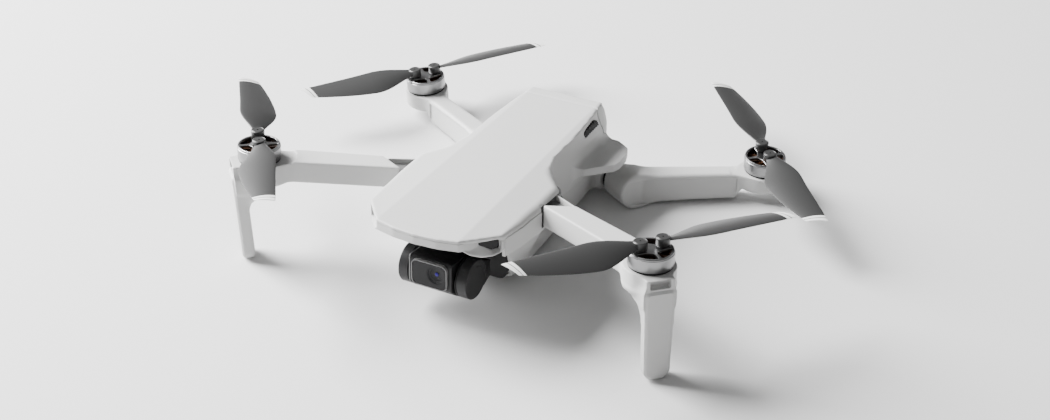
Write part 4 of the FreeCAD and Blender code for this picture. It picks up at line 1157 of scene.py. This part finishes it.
KEPT_NODES = {
    "dark_plastic": ["belly_plate", "power_button", "port_block", "cooling_fan", "gimbal_damper_plate",
                     "gimbal_ribbon", "yaw_motor", "yaw_bracket", "roll_motor", "roll_bracket"],
    "gloss_black": ["vision_lenses", "infrared_sensors"],
    "steel": ["door_pin", "shell_screws", "front_arm_pins", "rear_arm_pins"],
    "light_guide": ["battery_lights"], "cell_wrap": ["battery"], "board_green": ["main_board"],
    "brushed_metal": ["heat_sink"], "ceramic": ["satellite_antenna"], "rubber": ["gimbal_dampers"],
}
KEPT_SLOTS = {node: slot for slot, nodes in KEPT_NODES.items() for node in nodes}


def dress_kept_nodes():
    for name, obj in frame["nodes"].items():
        slot = KEPT_SLOTS.get(name)
        if slot is None:
            slot = "copper" if "stator" in name else "steel" if "screws" in name else None
        if slot is not None:
            obj.data.materials.clear()
            obj.data.materials.append(MATERIALS[slot])


# ---- studio ----

CAMERA_SPOT = (311.0, -586.7, 373.0)    # level frame, millimetres
CAMERA_AZIMUTH, CAMERA_ELEVATION, CAMERA_ROLL = 27.769, 28.326, 0.863
CAMERA_LENS = 61.07
KEY_SPOT, KEY_TARGET = (-1.4, 0.0, 0.9), (0, 0, 0.03)       # standing frame, metres
KEY_SIZE, KEY_POWER, SKY_STRENGTH = (0.9, 1.5), 215, 0.3
FLOOR_HALF, FLOOR_COLOUR = 6.0, (0.66, 0.66, 0.66)


def make_camera():
    data = bpy.data.cameras.new("studio_camera")
    data.lens = CAMERA_LENS
    data.sensor_width = 36.0
    data.sensor_fit = "HORIZONTAL"
    data.clip_start = 0.01
    data.clip_end = 30.0
    camera = new_object("studio_camera", data)
    a, e, roll = (math.radians(v) for v in (CAMERA_AZIMUTH, CAMERA_ELEVATION, CAMERA_ROLL))
    ahead = Vector((-math.sin(a) * math.cos(e), math.cos(a) * math.cos(e), -math.sin(e)))
    right = Vector((math.cos(a), math.sin(a), 0))
    above = right.cross(ahead)
    turned_right = right * math.cos(roll) + above * math.sin(roll)
    turned_up = above * math.cos(roll) - right * math.sin(roll)
    turn = Matrix((turned_right, turned_up, -ahead)).transposed().to_4x4()
    spot = STAND @ Vector(CAMERA_SPOT) * MM
    camera.matrix_world = Matrix.Translation(spot) @ (STAND.to_3x3().to_4x4() @ turn)
    bpy.context.scene.camera = camera


def make_key_light():
    """One wide soft panel, low on the left, aimed at the body."""
    data = bpy.data.lights.new("key_left", "AREA")
    data.shape = "RECTANGLE"
    data.size, data.size_y = KEY_SIZE
    data.energy = KEY_POWER
    light = new_object("key_left", data)
    light.location = KEY_SPOT
    look = Vector(KEY_TARGET) - Vector(KEY_SPOT)
    light.rotation_euler = look.to_track_quat("-Z", "Y").to_euler()


def make_floor():
    mesh = bpy.data.meshes.new("studio_floor")
    corners = [(u * FLOOR_HALF, v * FLOOR_HALF, 0) for u, v in ((-1, -1), (1, -1), (1, 1), (-1, 1))]
    mesh.from_pydata(corners, [], [(0, 1, 2, 3)])
    floor = new_object("studio_floor", mesh)
    mesh.materials.append(plastic("floor_card", FLOOR_COLOUR, 0.85, grain=300, mottle=0.004))


def make_studio():
    make_camera()
    make_floor()
    make_key_light()
    world = bpy.data.worlds.new("studio_world")
    bpy.context.scene.world = world
    world.use_nodes = True
    sky = world.node_tree.nodes["Background"]
    sky.inputs["Color"].default_value = (1, 1, 1, 1)
    sky.inputs["Strength"].default_value = SKY_STRENGTH


make_body()
make_vents()
make_arms()
make_bells()
make_blades()
make_gimbal()
dress_kept_nodes()
make_studio()
